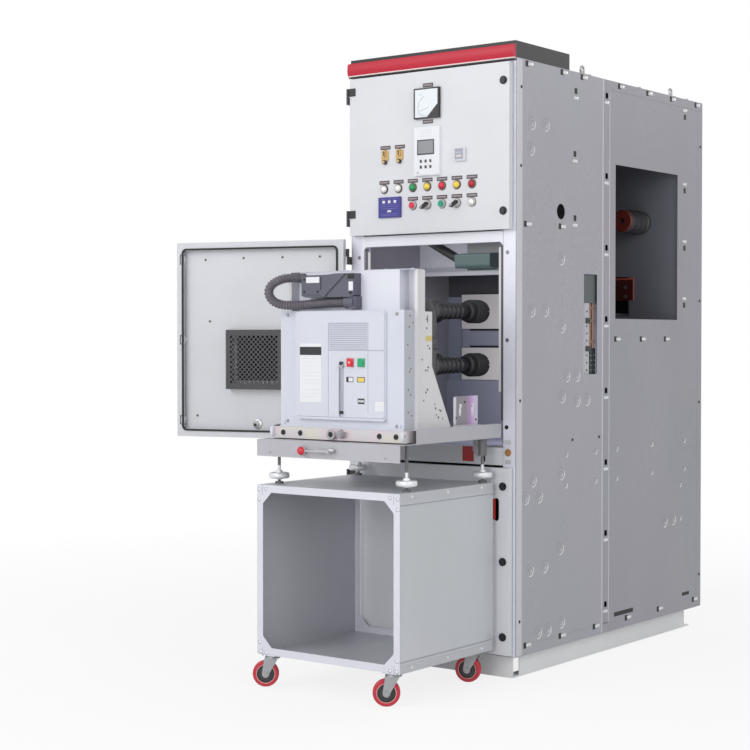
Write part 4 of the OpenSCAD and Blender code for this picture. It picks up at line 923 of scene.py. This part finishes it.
def relayFace(plan):
    left, right, bottom, top = plan["relay"]
    middle = (left + right) / 2 - 0.003
    front = doorFace - plan["proud"]["relay"]
    blocks("relayFront", doorBody, caseWhite,
           ((left + 0.002, right - 0.002), (front - 0.0012, front + 0.001),
            (bottom + 0.002, top - 0.002), 0.001))
    bm = bmesh.new()
    block(bm, about(middle, 0.041), (front - 0.0022, front), (1.951, 2.011), 0.0016)
    for x in (-0.023, 0.0, 0.023):
        for z in (1.9265, 1.9035):
            block(bm, about(middle + x, 0.0048), (front - 0.003, front),
                  about(z, 0.0058), 0.0012)
    for z in (1.884, 1.879):
        block(bm, (left + 0.016, left + 0.024), (front - 0.0016, front), (z, z + 0.0015))
    finish(bm, "relayKeys", doorBody, plateDark, 40)
    blocks("relayScreen", doorBody, screenGrey,
           (about(middle, 0.036), (front - 0.0028, front - 0.001), (1.956, 2.006), 0.0008))
    bm = bmesh.new()
    for z in ruled(2.024, 0.008, 4):
        block(bm, about(middle, 0.028), (front - 0.0015, front), (z, z + 0.001))
    block(bm, (left + 0.006, right - 0.006), (front - 0.0015, front), (1.8735, 1.8742))
    finish(bm, "relayLines", doorBody, moulded("relayLine", (0.50, 0.52, 0.56), 0.4))


def heaterFace(plan):
    left, right, bottom, top = plan["heater"]
    front = doorFace - plan["proud"]["heater"]
    blocks("heaterFront", doorBody, moulded("heaterGrey", (0.33, 0.33, 0.42), 0.35),
           ((left + 0.004, right - 0.010), (front - 0.0012, front + 0.001),
            (bottom + 0.007, top - 0.003), 0.001))
    bm = bmesh.new()
    for x in ruled(left + 0.012, 0.0095, 3):
        block(bm, about(x, 0.003), (front - 0.002, front), (bottom + 0.030, bottom + 0.035), 0.0004)
    block(bm, (left + 0.010, right - 0.016), (front - 0.0018, front),
          (bottom + 0.014, bottom + 0.024), 0.0004)
    finish(bm, "heaterKeys", doorBody, platePale)


def displayFace(plan):
    left, right = plan["display"][:2]
    middle = (left + right) / 2
    front = doorFace - plan["proud"]["display"]
    bm = bmesh.new()
    for x in (-0.028, 0.0, 0.028):
        block(bm, about(middle + x, 0.0062), (front - 0.0016, front + 0.001),
              (1.7700, 1.7805), 0.0005)
    block(bm, about(middle, 0.009), (front - 0.0016, front + 0.001), (1.7335, 1.7415), 0.0005)
    finish(bm, "displayLamps", doorBody, caseWhite)
    bm = bmesh.new()
    for z in (1.7635, 1.7555, 1.7475, 1.726, 1.720):
        block(bm, (left + 0.014, right - 0.014), (front - 0.0008, front + 0.0005), (z, z + 0.0013))
    for x in (-0.028, 0.0, 0.028):
        block(bm, about(middle + x, 0.009), (front - 0.0008, front + 0.0005), (1.7855, 1.787))
    finish(bm, "displayLines", doorBody, moulded("displayLine", (0.20, 0.20, 0.55), 0.35))


def linkBolts(plan):
    low, high = plan["linkHeights"]
    dark, pale = bmesh.new(), bmesh.new()
    for x in plan["links"]:
        disc(dark, spot(x, doorFace - 0.007, low - 0.006), "y", 0.009, 0.010, 16)
        disc(pale, spot(x, doorFace - 0.013, low - 0.006), "y", 0.006, 0.004, 6)
        for z in (high - 0.005, (low + high) / 2 + 0.003):
            disc(pale, spot(x, doorFace - 0.008, z), "y", 0.0095, 0.007, 20, 0.0075)
            disc(dark, spot(x, doorFace - 0.012, z), "y", 0.0035, 0.003, 12)
    finish(dark, "linkKnobs", doorBody, inkBlack, 40)
    finish(pale, "linkNuts", doorBody, moulded("linkBrass", (0.66, 0.44, 0.20), 0.3, 0.6), 40)


def switchDetails(plan):
    # a dark seal round each bezel and the marker line on each rotary handle
    pale, dark = bmesh.new(), bmesh.new()
    for first, count, z in plan["rows"]:
        for x in ruled(plan["rowMiddle"] + first * plan["rowPitch"], plan["rowPitch"], count):
            arc(dark, spot(x, doorFace - 0.0003, z), "y", **plan["seal"], steps=24)
    finish(dark, "bezelSeals", doorBody, moulded("bezelSeal", (0.10, 0.10, 0.11), 0.5), 40)
    turn = Matrix.Rotation(math.radians(plan["handleTurn"]), 4, "Y")
    for x in plan["handles"]:
        place = Matrix.Translation(spot(x, doorFace - 0.0242, plan["rows"][1][2])) @ turn
        bmesh.ops.create_cube(pale, size=1, matrix=place @ Matrix.Translation((-0.017, 0, 0))
                              @ Matrix.Diagonal((0.012, 0.0008, 0.0018, 1)))
    finish(pale, "handleMarks", doorBody, caseWhite)


panelPlates(panelPlan)
meterFace(panelPlan)
relayFace(panelPlan)
heaterFace(panelPlan)
displayFace(panelPlan)
linkBolts(panelPlan)
switchDetails(panelPlan)
print("instrument door detailed")

# breaker: operating panel, labels, rivets and studs

labelWhite = moulded("labelWhite", (0.72, 0.73, 0.76), 0.3, 0, 60, 0.02, 0.02)
lineGrey = moulded("lineGrey", (0.34, 0.35, 0.42), 0.4)
springYellow = moulded("springYellow", (0.72, 0.55, 0.12), 0.35)
ruleGrey = moulded("ruleGrey", (0.55, 0.56, 0.60), 0.4)
coverLow, coverTop = reach("front_cover", 2)
coverRule = (coverLow + 0.03, coverTop - 0.045)
flush = (0.0003, -0.002)
breakerPlan = {
    "buttons": [((0.039, 0.070, 1.123, 1.155), (0.62, 0.03, 0.04), "openButton"),
                ((0.089, 0.121, 1.123, 1.155), (0.02, 0.33, 0.14), "closeButton")],
    "sideDots": [(-0.547, 1.157), (-0.537, 1.118), (-0.544, 1.108), (-0.553, 1.042), (-0.537, 1.022),
                 (-0.553, 0.961), (-0.531, 0.948), (-0.542, 1.31), (-0.546, 1.269), (-0.524, 1.285),
                 (-0.556, 1.205)],
    "plateHoles": [(-0.441, 1.298), (-0.442, 1.265), (-0.424, 1.191), (-0.433, 1.122), (-0.448, 1.111),
                   (-0.437, 1.04), (-0.447, 1.03), (-0.385, 0.97), (-0.352, 0.96), (-0.367, 0.936)],
    "studs": [(-0.256, 0.916), (0.257, 0.910), (-0.256, 1.316), (0.257, 1.316)],
    "frameRise": 0.004,  # the panel lies this far behind the raised button frames
    "plateThick": 0.003,
    "lever": (0.016, 0.965, 1.128),
    # across, depth in front of the panel, up, rounding
    "plates": {
        "buttonMarks": (labelWhite, [((0.0515, 0.0575), (0.0098, 0.009), (1.1365, 1.1425), 0.0003)]),
        "coverLines": (lineGrey, [
            ((-0.05, 0.205), flush, (1.1825, 1.1842)),
            (about(-0.05, 0.0008), flush, coverRule), (about(0.135, 0.0008), flush, coverRule)]
            + [((-0.044, 0.129), flush, (z, z + 0.0021)) for z in ruled(1.1875, 0.0078, 13)]),
        "coverWindows": (inkBlack, [
            (about(0.0515, 0.0165), (0.0006, -0.002), (1.067, 1.0865), 0.0004),
            (about(0.1035, 0.0175), (0.0006, -0.002), (1.067, 1.0865), 0.0004),
            ((0.089, 0.119), (0.0012, -0.002), (0.988, 1.008), 0.0006),
            ((-0.186, -0.083), (0.0012, 0), (1.166, 1.196), 0.0004)]),
        "coverLabels": (labelWhite, [
            ((0.046, 0.0655), (0.0012, 0), (1.0695, 1.0840), 0.0004),
            *(((x, x + 0.0036), (0.0018, 0), (0.9935, 1.0025), 0.0003) for x in ruled(0.0925, 0.0052, 5)),
            ((-0.186, -0.083), (0.0008, 0), (0.989, 1.165), 0.0004),
            ((-0.186, -0.083), (0.0008, 0), (1.197, 1.209), 0.0004),
            ((0.168, 0.208), (0.0008, 0), (0.963, 0.998), 0.0004)]),
        "springMark": (springYellow, [((0.0885, 0.1185), (0.0012, 0), (1.0695, 1.0840), 0.0004)]),
        "labelRules": (ruleGrey, [((0.172, 0.204), (0.0011, 0.0006), (0.980, 0.981))] + [
            ((-0.176, -0.094), (0.0011, 0.0006), (z, z + 0.0008))
            for z in (1.152, 1.139, 1.126, 1.100, 1.087, 1.074, 1.061, 1.035, 1.022, 1.009)]),
    },
}


def operatingPanel(plan):
    panel = reach("front_cover", 1)[0] + plan["frameRise"]
    for (left, right, bottom, top), colour, name in plan["buttons"]:
        bm = bmesh.new()
        disc(bm, spot((left + right) / 2, panel - 0.0045, (bottom + top) / 2), "y", 0.0125, 0.009, 28)
        block(bm, (left, right), (panel - 0.0055, panel - 0.001), (bottom, top), 0.002)
        finish(bm, name, "breaker", moulded(name, colour, 0.3), 40)
    for name, (material, plates) in plan["plates"].items():
        bm = bmesh.new()
        for xs, (rise, sink), zs, *edge in plates:
            block(bm, xs, (panel - rise, panel - sink), zs, *edge)
        finish(bm, name, "breaker", material)
    x, foot, end = plan["lever"]
    bm = bmesh.new()
    block(bm, about(x, 0.0055), about(panel, 0.004), (foot, end), 0.003)
    disc(bm, spot(x, panel - 0.003, end), "y", 0.010, 0.010, 20)
    finish(bm, "chargingLever", "breaker", moulded("leverGrey", (0.36, 0.37, 0.42), 0.4), 40)
    bm = bmesh.new()
    for z in (foot - 0.010, end + 0.008):
        disc(bm, spot(x, panel - 0.005, z), "y", 0.0065, 0.012, 16)
    finish(bm, "leverEnds", "breaker", inkBlack, 40)


def housingDetails(plan):
    side = reach("mechanism_housing", 0)[1]
    outer = side + plan["plateThick"]
    dark = bmesh.new()
    for turn in (-1, 1):
        for y, z in plan["sideDots"]:
            disc(dark, spot(turn * side, y, z), "x", 0.0032, 0.0012, 12)
        for y, z in plan["plateHoles"]:
            disc(dark, spot(turn * outer, y, z), "x", 0.004, 0.0012, 12)
    finish(dark, "housingRivets", "breaker", screwDark)
    bm = bmesh.new()
    for x, z in plan["studs"]:
        disc(bm, spot(x, reach("mechanism_housing", 1)[0] + 0.0045, z), "y", 0.0075, 0.004, 20, 0.006)
    finish(bm, "housingStuds", "breaker", steelScrew, 30)
    bm = bmesh.new()
    for turn in (-1, 1):
        block(bm, about(turn * outer, 0.0006), (-0.449, -0.411), (1.218, 1.237), 0.0003)
    finish(bm, "sideLabels", "breaker", moulded("labelYellow", (0.62, 0.50, 0.16), 0.4))


def plugDetails():
    front = reach("control_plug", 1)[0]
    blocks("plugLabels", "breaker", labelWhite,
           ((-0.163, -0.100), (front + 0.0008, front + 0.003), (1.435, 1.457), 0.0005),
           ((0.036, 0.056), (front + 0.0045, front + 0.0075), (1.404, 1.437), 0.0005))
    bm = bmesh.new()
    block(bm, (0.030, 0.0585), (front + 0.004, front + 0.012), (1.447, 1.4675), 0.002)
    for x, z in ((-0.172, 1.448), (-0.108, 1.402), (-0.172, 1.402), (0.046, 1.396)):
        disc(bm, spot(x, front + 0.0018, z), "y", 0.0045, 0.004, 12)
    finish(bm, "plugClip", "breaker", blackSteel, 40)


operatingPanel(breakerPlan)
housingDetails(breakerPlan)
plugDetails()
print("breaker front detailed")

# truck, tray and trolley: rivets, crank socket, end blocks and the interlock bracket

truckPlan = {
    "holes": [-0.255, -0.172, 0.199, 0.274], "holeLevel": 0.8735, "faceDepth": 0.014, "rivetRadius": 0.0062,
    "cornerRivets": [(0.291, 0.660), (0.325, 0.657), (0.325, 0.620), (0.323, 0.080), (0.291, 0.042),
                     (0.321, 0.042)],
    "sideRivets": [-0.589, -0.364, -0.138], "sideHeights": (0.662, 0.050),
}


def truckDetails(plan):
    face = reach("truck", 1)[0] + plan["faceDepth"]
    level = plan["holeLevel"]
    bm = bmesh.new()
    place = spot(-0.016, face, level)
    turned(bm, place + Vector((0, -0.014, 0)), "y",
           [(0.0125, -0.004), (0.0125, 0.001), (0.0185, 0.001), (0.0195, 0), (0.0195, -0.004)])
    disc(bm, spot(0.315, face - 0.002, 0.877), "y", 0.005, 0.004, 12)
    finish(bm, "crankRing", "breaker", finishes["zinc"], 40)
    bm = bmesh.new()
    disc(bm, spot(0.030, face - 0.009, 0.8765), "y", 0.0165, 0.018, 6)
    disc(bm, spot(0.030, face - 0.019, 0.8765), "y", 0.010, 0.004, 16)
    finish(bm, "crankStop", "breaker", steelScrew, 30)
    bm = bmesh.new()
    for x in plan["holes"]:
        disc(bm, spot(x, face + 0.0005, level), "y", 0.0085, 0.002, 20)
        arc(bm, spot(x, face, level), "y", 0.010, 0.002, 0.0012, steps=16)
    disc(bm, place + Vector((0, -0.0128, 0)), "y", 0.0105, 0.001, 24)
    finish(bm, "truckHoles", "breaker", recessShade)
    bm = bmesh.new()
    for turn in (-1, 1):
        block(bm, (turn * 0.300, turn * 0.3135), (face - 0.010, face + 0.006), (0.860, 0.893), 0.002)
    finish(bm, "truckEnds", "breaker", finishes["frameCoat"], 40)


def bracketDetails():
    # slots, holes and painted lower flange of the interlock bracket
    right = reach("truck", 0)[1]
    blocks("bracketFlange", "breaker", finishes["frameCoat"],
           ((right - 0.0165, right + 0.0002), (-0.282, -0.112), (0.8955, 0.9005), 0.0008),
           ((right - 0.0168, right - 0.014), (-0.279, -0.262), (0.905, 1.008), 0.0008), smooth=40)
    bm = bmesh.new()
    for y in (-0.236, -0.152):
        block(bm, (right - 0.0165, right - 0.0145), about(y, 0.007), (0.938, 0.982), 0.0008)
        disc(bm, spot(right - 0.013, y, 0.974), "x", 0.008, 0.004, 6)
    finish(bm, "bracketSlots", "breaker", highlightAndBrightZinc, 40)
    bm = bmesh.new()
    for y, z in ((-0.205, 0.988), (-0.262, 0.93), (-0.13, 0.92)):
        disc(bm, spot(right - 0.0145, y, z), "x", 0.004, 0.002, 12)
    finish(bm, "bracketHoles", "breaker", recessShade)


def trolleyDetails(plan):
    trolleyFront = reach("trolley_frame", 1)[0]
    side = reach("trolley_frame", 0)[1]
    bm = bmesh.new()
    radius = plan["rivetRadius"]
    dome = (radius, 0.003, 12, radius * 0.55)
    for turn, way in ((-1, "-x"), (1, "x")):
        for x, z in plan["cornerRivets"]:
            disc(bm, spot(turn * x, trolleyFront - 0.001, z), "y", *dome)
        for y in plan["sideRivets"]:
            for z in plan["sideHeights"]:
                disc(bm, spot(turn * (side + 0.001), y, z), way, *dome)
    finish(bm, "trolleyRivets", "cabinet", highlightAndBrightZinc, 50)
    bm = bmesh.new()
    for turn in (-1, 1):
        for x, z in plan["cornerRivets"]:
            arc(bm, spot(turn * x, trolleyFront, z), "y", radius + 0.0008, 0.0014, 0.0005, steps=12)
    for x in (-0.308, 0.308):
        for z in (0.655, 0.045):
            block(bm, about(x, 0.0006), (trolleyFront - 0.0004, trolleyFront + 0.001),
                  about(z, 0.018))
    finish(bm, "rivetSeats", "cabinet", shadeAndSeamZinc)
    bm = bmesh.new()
    for turn in (-1, 1):
        for z in (0.6335, 0.0745):
            block(bm, (turn * (side + 0.0006), turn * (side - 0.001)), (trolleyFront + 0.002, -0.067),
                  about(z, 0.0008))
    finish(bm, "trolleySeams", "cabinet", seamZinc)


def trayDetails():
    low = reach("trolley_frame", 1)[0]
    blocks("traySlot", "cabinet", moulded("slotShade", (0.22, 0.22, 0.24), 0.5),
           ((-0.108, 0.038), (low - 0.0004, low + 0.001), (0.8095, 0.8185)))
    bm = bmesh.new()
    disc(bm, spot(0.0, low - 0.012, 0.8165), "x", 0.005, 0.09, 12)
    disc(bm, spot(0.037, low - 0.012, 0.820), "x", 0.008, 0.02, 12, 0.005)
    finish(bm, "latchRod", "cabinet", finishes["zinc"], 40)
    bm = bmesh.new()
    for x in (-0.27, 0.27):
        disc(bm, spot(x, low - 0.0008, 0.80), "y", 0.004, 0.0016, 12)
    finish(bm, "trayScrews", "cabinet", steelScrew)


wheelBand = moulded("wheelBand", (0.60, 0.34, 0.32), 0.4)
bandPlan = {"radius": 0.0362, "inner": 0.93, "offset": 0.016 + 0.0006, "sides": 32}


def casterDetails(number, plan):
    # the thin pale band between the tyre and the core
    low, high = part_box(f"caster_wheel_{number}")
    centre = (low + high) / 2
    joint = next(item for item in frame["joints"] if item["name"] == f"wheel_spin_{number}")
    way = Vector(joint["axis"]).normalized()
    turn = Vector((0, 0, 1)).rotation_difference(way).to_matrix().to_4x4()
    bm = bmesh.new()
    for side in (-1, 1):
        flip = Matrix.Identity(4) if side > 0 else Matrix.Rotation(math.pi, 4, "X")
        ring = bmesh.ops.create_circle(bm, segments=plan["sides"], radius=plan["radius"])["verts"]
        edges = list({edge for vert in ring for edge in vert.link_edges})
        inner = [item for item in bmesh.ops.extrude_edge_only(bm, edges=edges)["geom"]
                 if isinstance(item, bmesh.types.BMVert)]
        bmesh.ops.scale(bm, vec=(plan["inner"], plan["inner"], 1), verts=inner)
        bmesh.ops.transform(bm, matrix=Matrix.Translation(centre) @ turn @ flip
                            @ Matrix.Translation((0, 0, plan["offset"])), verts=ring + inner)
    finish(bm, f"wheelBand{number}", f"wheel_{number}", wheelBand)


truckDetails(truckPlan)
bracketDetails()
trolleyDetails(truckPlan)
trayDetails()
for number in range(1, 5):
    casterDetails(number, bandPlan)
print("truck and trolley detailed")

# breaker compartment: bolts in the lower panel, rail screws and shutter edges

compartmentPlan = {
    "panelBolts": [(-0.218, 0.99), (-0.197, 0.89), (0.218, 0.99), (0.197, 0.89)],
    "shutterEdges": [(1.2615, 1.2695), (1.1875, 1.1955)],
}


def compartmentDetails(plan):
    back = reach("contact_partition", 1)[0]
    bm = bmesh.new()
    for x, z in plan["panelBolts"]:
        disc(bm, spot(x, back - 0.003, z), "y", 0.010, 0.006, 6)
        disc(bm, spot(x, back - 0.0006, z), "y", 0.014, 0.0012, 20)
    finish(bm, "panelBolts", "cabinet", blackSteel, 30)
    bm = bmesh.new()
    liner = reach("slide_rails", 0)
    for turn in (-1, 1):
        for y in (0.06, 0.24, 0.42, 0.60):
            disc(bm, spot(turn * (liner[1] - 0.0165), y, 0.874), "x", 0.006, 0.003, 12)
    finish(bm, "railScrews", "cabinet", steelScrew, 30)
    bm = bmesh.new()
    near = reach("shutters", 1)[0]
    for turn in (-1, 1):
        for z in plan["shutterEdges"]:
            block(bm, (turn * 0.10, turn * 0.276), (near - 0.0006, near + 0.011), z, 0.0006)
    finish(bm, "shutterEdges", "cabinet", blackSteel)


def busDetails():
    # the flag at the end of the round insulator, its red edge and its bolts, seen through the side opening
    bm = bmesh.new()
    for z in (1.453, 1.413):
        disc(bm, spot(0.237, 1.154, z), "y", 0.0085, 0.007, 6)
    finish(bm, "flagBolts", "cabinet", moulded("flagSteel", (0.10, 0.09, 0.09), 0.4, 0.5), 30)
    blocks("flagFace", "cabinet", moulded("flagDark", (0.045, 0.009, 0.008), 0.4),
           ((0.172, 0.274), (1.157, 1.1598), (1.396, 1.488), 0.0008))
    blocks("flagEdge", "cabinet", moulded("flagRed", (0.36, 0.07, 0.05), 0.35),
           ((0.168, 0.278), (1.1562, 1.160), (1.487, 1.4945), 0.001),
           ((0.2735, 0.279), (1.1562, 1.160), (1.396, 1.4945), 0.001))


compartmentDetails(compartmentPlan)
busDetails()
print("compartments detailed")

# breaker door, standing open: pane, bare plates outside, screws and crank knob inside

doorPlan = {
    "outerPlates": [((-0.289, -0.158, 1.476, 1.564), (0.50, 0.02, 0.035), "outerPlateRed"),
                    ((-0.047, 0.073, 1.380, 1.579), (0.78, 0.79, 0.82), "outerPlateWhite"),
                    ((-0.043, 0.082, 0.929, 1.009), (0.36, 0.37, 0.40), "outerPlateGrey")],
    "pane": (-0.113, 0.109, 1.053, 1.240),
    "screws": [(-0.27, 1.565), (-0.10, 1.565), (0.08, 1.565), (0.26, 1.56), (-0.30, 0.90), (0.30, 0.90),
               (-0.24, 1.30), (0.24, 1.30)],
}


def breakerDoorDetails(plan):
    body = "breaker_door_leaf"
    left, right, bottom, top = plan["pane"]
    inner = doorFace + 0.002
    blocks("doorPane", body, finishes["windowPane"],
           ((left, right), (inner + 0.0006, inner + 0.004), (bottom, top), 0.0006), turn=doorTurn)
    bm = bmesh.new()
    for low, high in ((left - 0.004, left + 0.006), (right - 0.006, right + 0.004)):
        block(bm, (low, high), (doorFace - 0.0025, doorFace), (bottom - 0.004, top + 0.004), 0.001)
    for low, high in ((bottom - 0.004, bottom + 0.006), (top - 0.006, top + 0.004)):
        block(bm, (left - 0.004, right + 0.004), (doorFace - 0.0025, doorFace), (low, high), 0.001)
    finish(bm, "paneSeal", body, finishes["sealRubber"], turn=doorTurn)
    for (low, high, under, over), colour, name in plan["outerPlates"]:
        blocks(name, body, moulded(name, colour, 0.35, 0, 60, 0.02, 0.02),
               ((low, high), (doorFace - 0.001, doorFace + 0.0002), (under, over), 0.0004),
               turn=doorTurn)
    bm = bmesh.new()
    for x, z in plan["screws"]:
        disc(bm, spot(x, inner + 0.0012, z), "y", 0.0048, 0.0024, 12)
    finish(bm, "doorScrews", body, screwDark, 30, turn=doorTurn)
    bm = bmesh.new()
    place = spot(0.0165, inner, 0.870)
    turned(bm, place, "y",
           [(0.0, -0.012), (0.010, -0.011), (0.012, -0.006), (0.021, -0.004), (0.022, 0), (0, 0)])
    finish(bm, "crankCover", body, finishes["zinc"], 40, turn=doorTurn)
    bm = bmesh.new()
    disc(bm, spot(0.022, inner + 0.013, 0.866), "y", 0.0065, 0.004, 16)
    finish(bm, "crankKey", body, blackSteel, turn=doorTurn)


breakerDoorDetails(doorPlan)
print("breaker door detailed")

# roof and rear covers: bolts that hold them

shellPlan = {"across": (-0.36, -0.12, 0.12, 0.36), "back": (0.10, 0.62, 1.05, 1.50),
             "rearAcross": (-0.37, 0.37), "rearCount": 9, "margin": 0.04, "bolt": (0.0075, 0.003, 6)}


def shellBolts(plan):
    top = reach("roof_plates", 2)[1]
    rear = reach("rear_covers", 1)[1]
    bottom, high = reach("rear_covers", 2)
    bm = bmesh.new()
    for x in plan["across"]:
        for y in plan["back"]:
            disc(bm, spot(x, y, top + 0.0015), "z", *plan["bolt"])
    finish(bm, "roofBolts", "cabinet", finishes["zinc"], 30)
    bm = bmesh.new()
    step = (high - bottom - 2 * plan["margin"]) / (plan["rearCount"] - 1)
    for x in plan["rearAcross"]:
        for z in ruled(bottom + plan["margin"], step, plan["rearCount"]):
            disc(bm, spot(x, rear + 0.0012, z), "-y", *plan["bolt"])
    finish(bm, "rearBolts", "cabinet", finishes["zinc"], 30)


shellBolts(shellPlan)
print("shell detailed")

# floor, backdrop and light

stagePlan = {"nearGlow": 0.82, "farGlow": 1.0, "fadeFrom": 1.6, "fadeOver": 3.2,
             "skyLight": 0.52, "skySeen": 1.0}


def seenBySight(paint):
    # rays that look at the backdrop: the camera's, and those mirrored or passed on to it
    camera = paint.add("ShaderNodeLightPath", output="Is Camera Ray")
    outputs = camera.socket.node.outputs
    return camera | Wire(paint, outputs["Is Glossy Ray"]) | Wire(paint, outputs["Is Transmission Ray"])


def stageFloor(plan):
    paint = Paint("floorPaint", Roughness=0.9)
    grain = paint.noise(3, 2)
    paint.set("Base Color", paint.blend(grain, (0.80, 0.80, 0.80), (0.84, 0.84, 0.84)))
    glow = paint.add("ShaderNodeEmission", None, {"Color": (1, 1, 1), "Strength": 1.0})
    away = paint.add("ShaderNodeVectorMath", {"operation": "LENGTH"}, {0: paint.at()}, 1)
    fade = paint.add("ShaderNodeMapRange", {"clamp": True},
                     {"Value": away, "From Min": plan["fadeFrom"],
                      "From Max": plan["fadeFrom"] + plan["fadeOver"],
                      "To Min": plan["nearGlow"], "To Max": plan["farGlow"]})
    mixed = paint.add("ShaderNodeMixShader", None,
                      {0: seenBySight(paint) * fade, 1: Wire(paint, paint.surface.outputs[0]), 2: glow})
    paint.put(paint.tree.nodes["Material Output"].inputs["Surface"], mixed)
    bm = bmesh.new()
    bmesh.ops.create_grid(bm, x_segments=1, y_segments=1, size=40)
    mesh = bpy.data.meshes.new("floor")
    bm.to_mesh(mesh)
    bm.free()
    floor = bpy.data.objects.new("floor", mesh)
    floor.location.z = -0.0005
    mesh.materials.append(paint.material)
    scene.collection.objects.link(floor)


lampPlan = {
    "key": {"place": (-2.0, -6.5, 4.6), "size": 4.0, "power": 140, "aim": (0, -0.5, 1.2)},
    "front": {"place": (1.4, -7.6, 1.9), "size": 3.0, "power": 104, "aim": (0, 0, 1.1)},
    "fill": {"place": (5.5, -3.0, 3.2), "size": 4.0, "power": 82, "aim": (0, 0, 1.2)},
    "back": {"place": (1.0, 6.0, 5.0), "size": 3.0, "power": 110, "aim": (0, 0, 1.5)},
    "inner": {"place": (0.345, -0.66, 1.16), "size": 0.05, "power": 2.2, "aim": (-0.2, -0.1, 1.24)},
}


def addLamp(name, plan):
    data = bpy.data.lights.new(name, "AREA")
    data.shape = "DISK"
    data.size = plan["size"]
    data.energy = plan["power"]
    lamp = bpy.data.objects.new(name, data)
    lamp.location = plan["place"]
    way = Vector(plan["aim"]) - lamp.location
    lamp.rotation_euler = way.to_track_quat("-Z", "Y").to_euler()
    lamp.visible_camera = lamp.visible_glossy = name != "inner"
    scene.collection.objects.link(lamp)


def setWorld(plan):
    world = bpy.data.worlds.new("studio")
    world.use_nodes = True
    tree = world.node_tree
    sky = tree.nodes["Background"]
    sky.inputs["Color"].default_value = (1, 1, 1, 1)
    path = tree.nodes.new("ShaderNodeLightPath")
    first, second, level = (tree.nodes.new("ShaderNodeMath") for _ in range(3))
    first.operation = second.operation = "MAXIMUM"
    tree.links.new(path.outputs["Is Camera Ray"], first.inputs[0])
    tree.links.new(path.outputs["Is Glossy Ray"], first.inputs[1])
    tree.links.new(first.outputs[0], second.inputs[0])
    tree.links.new(path.outputs["Is Transmission Ray"], second.inputs[1])
    level.operation = "MULTIPLY_ADD"
    tree.links.new(second.outputs[0], level.inputs[0])
    level.inputs[1].default_value = plan["skySeen"] - plan["skyLight"]
    level.inputs[2].default_value = plan["skyLight"]
    tree.links.new(level.outputs[0], sky.inputs["Strength"])
    scene.world = world


stageFloor(stagePlan)
setWorld(stagePlan)
for lampName, lamp in lampPlan.items():
    addLamp(lampName, lamp)
print("stage lit")
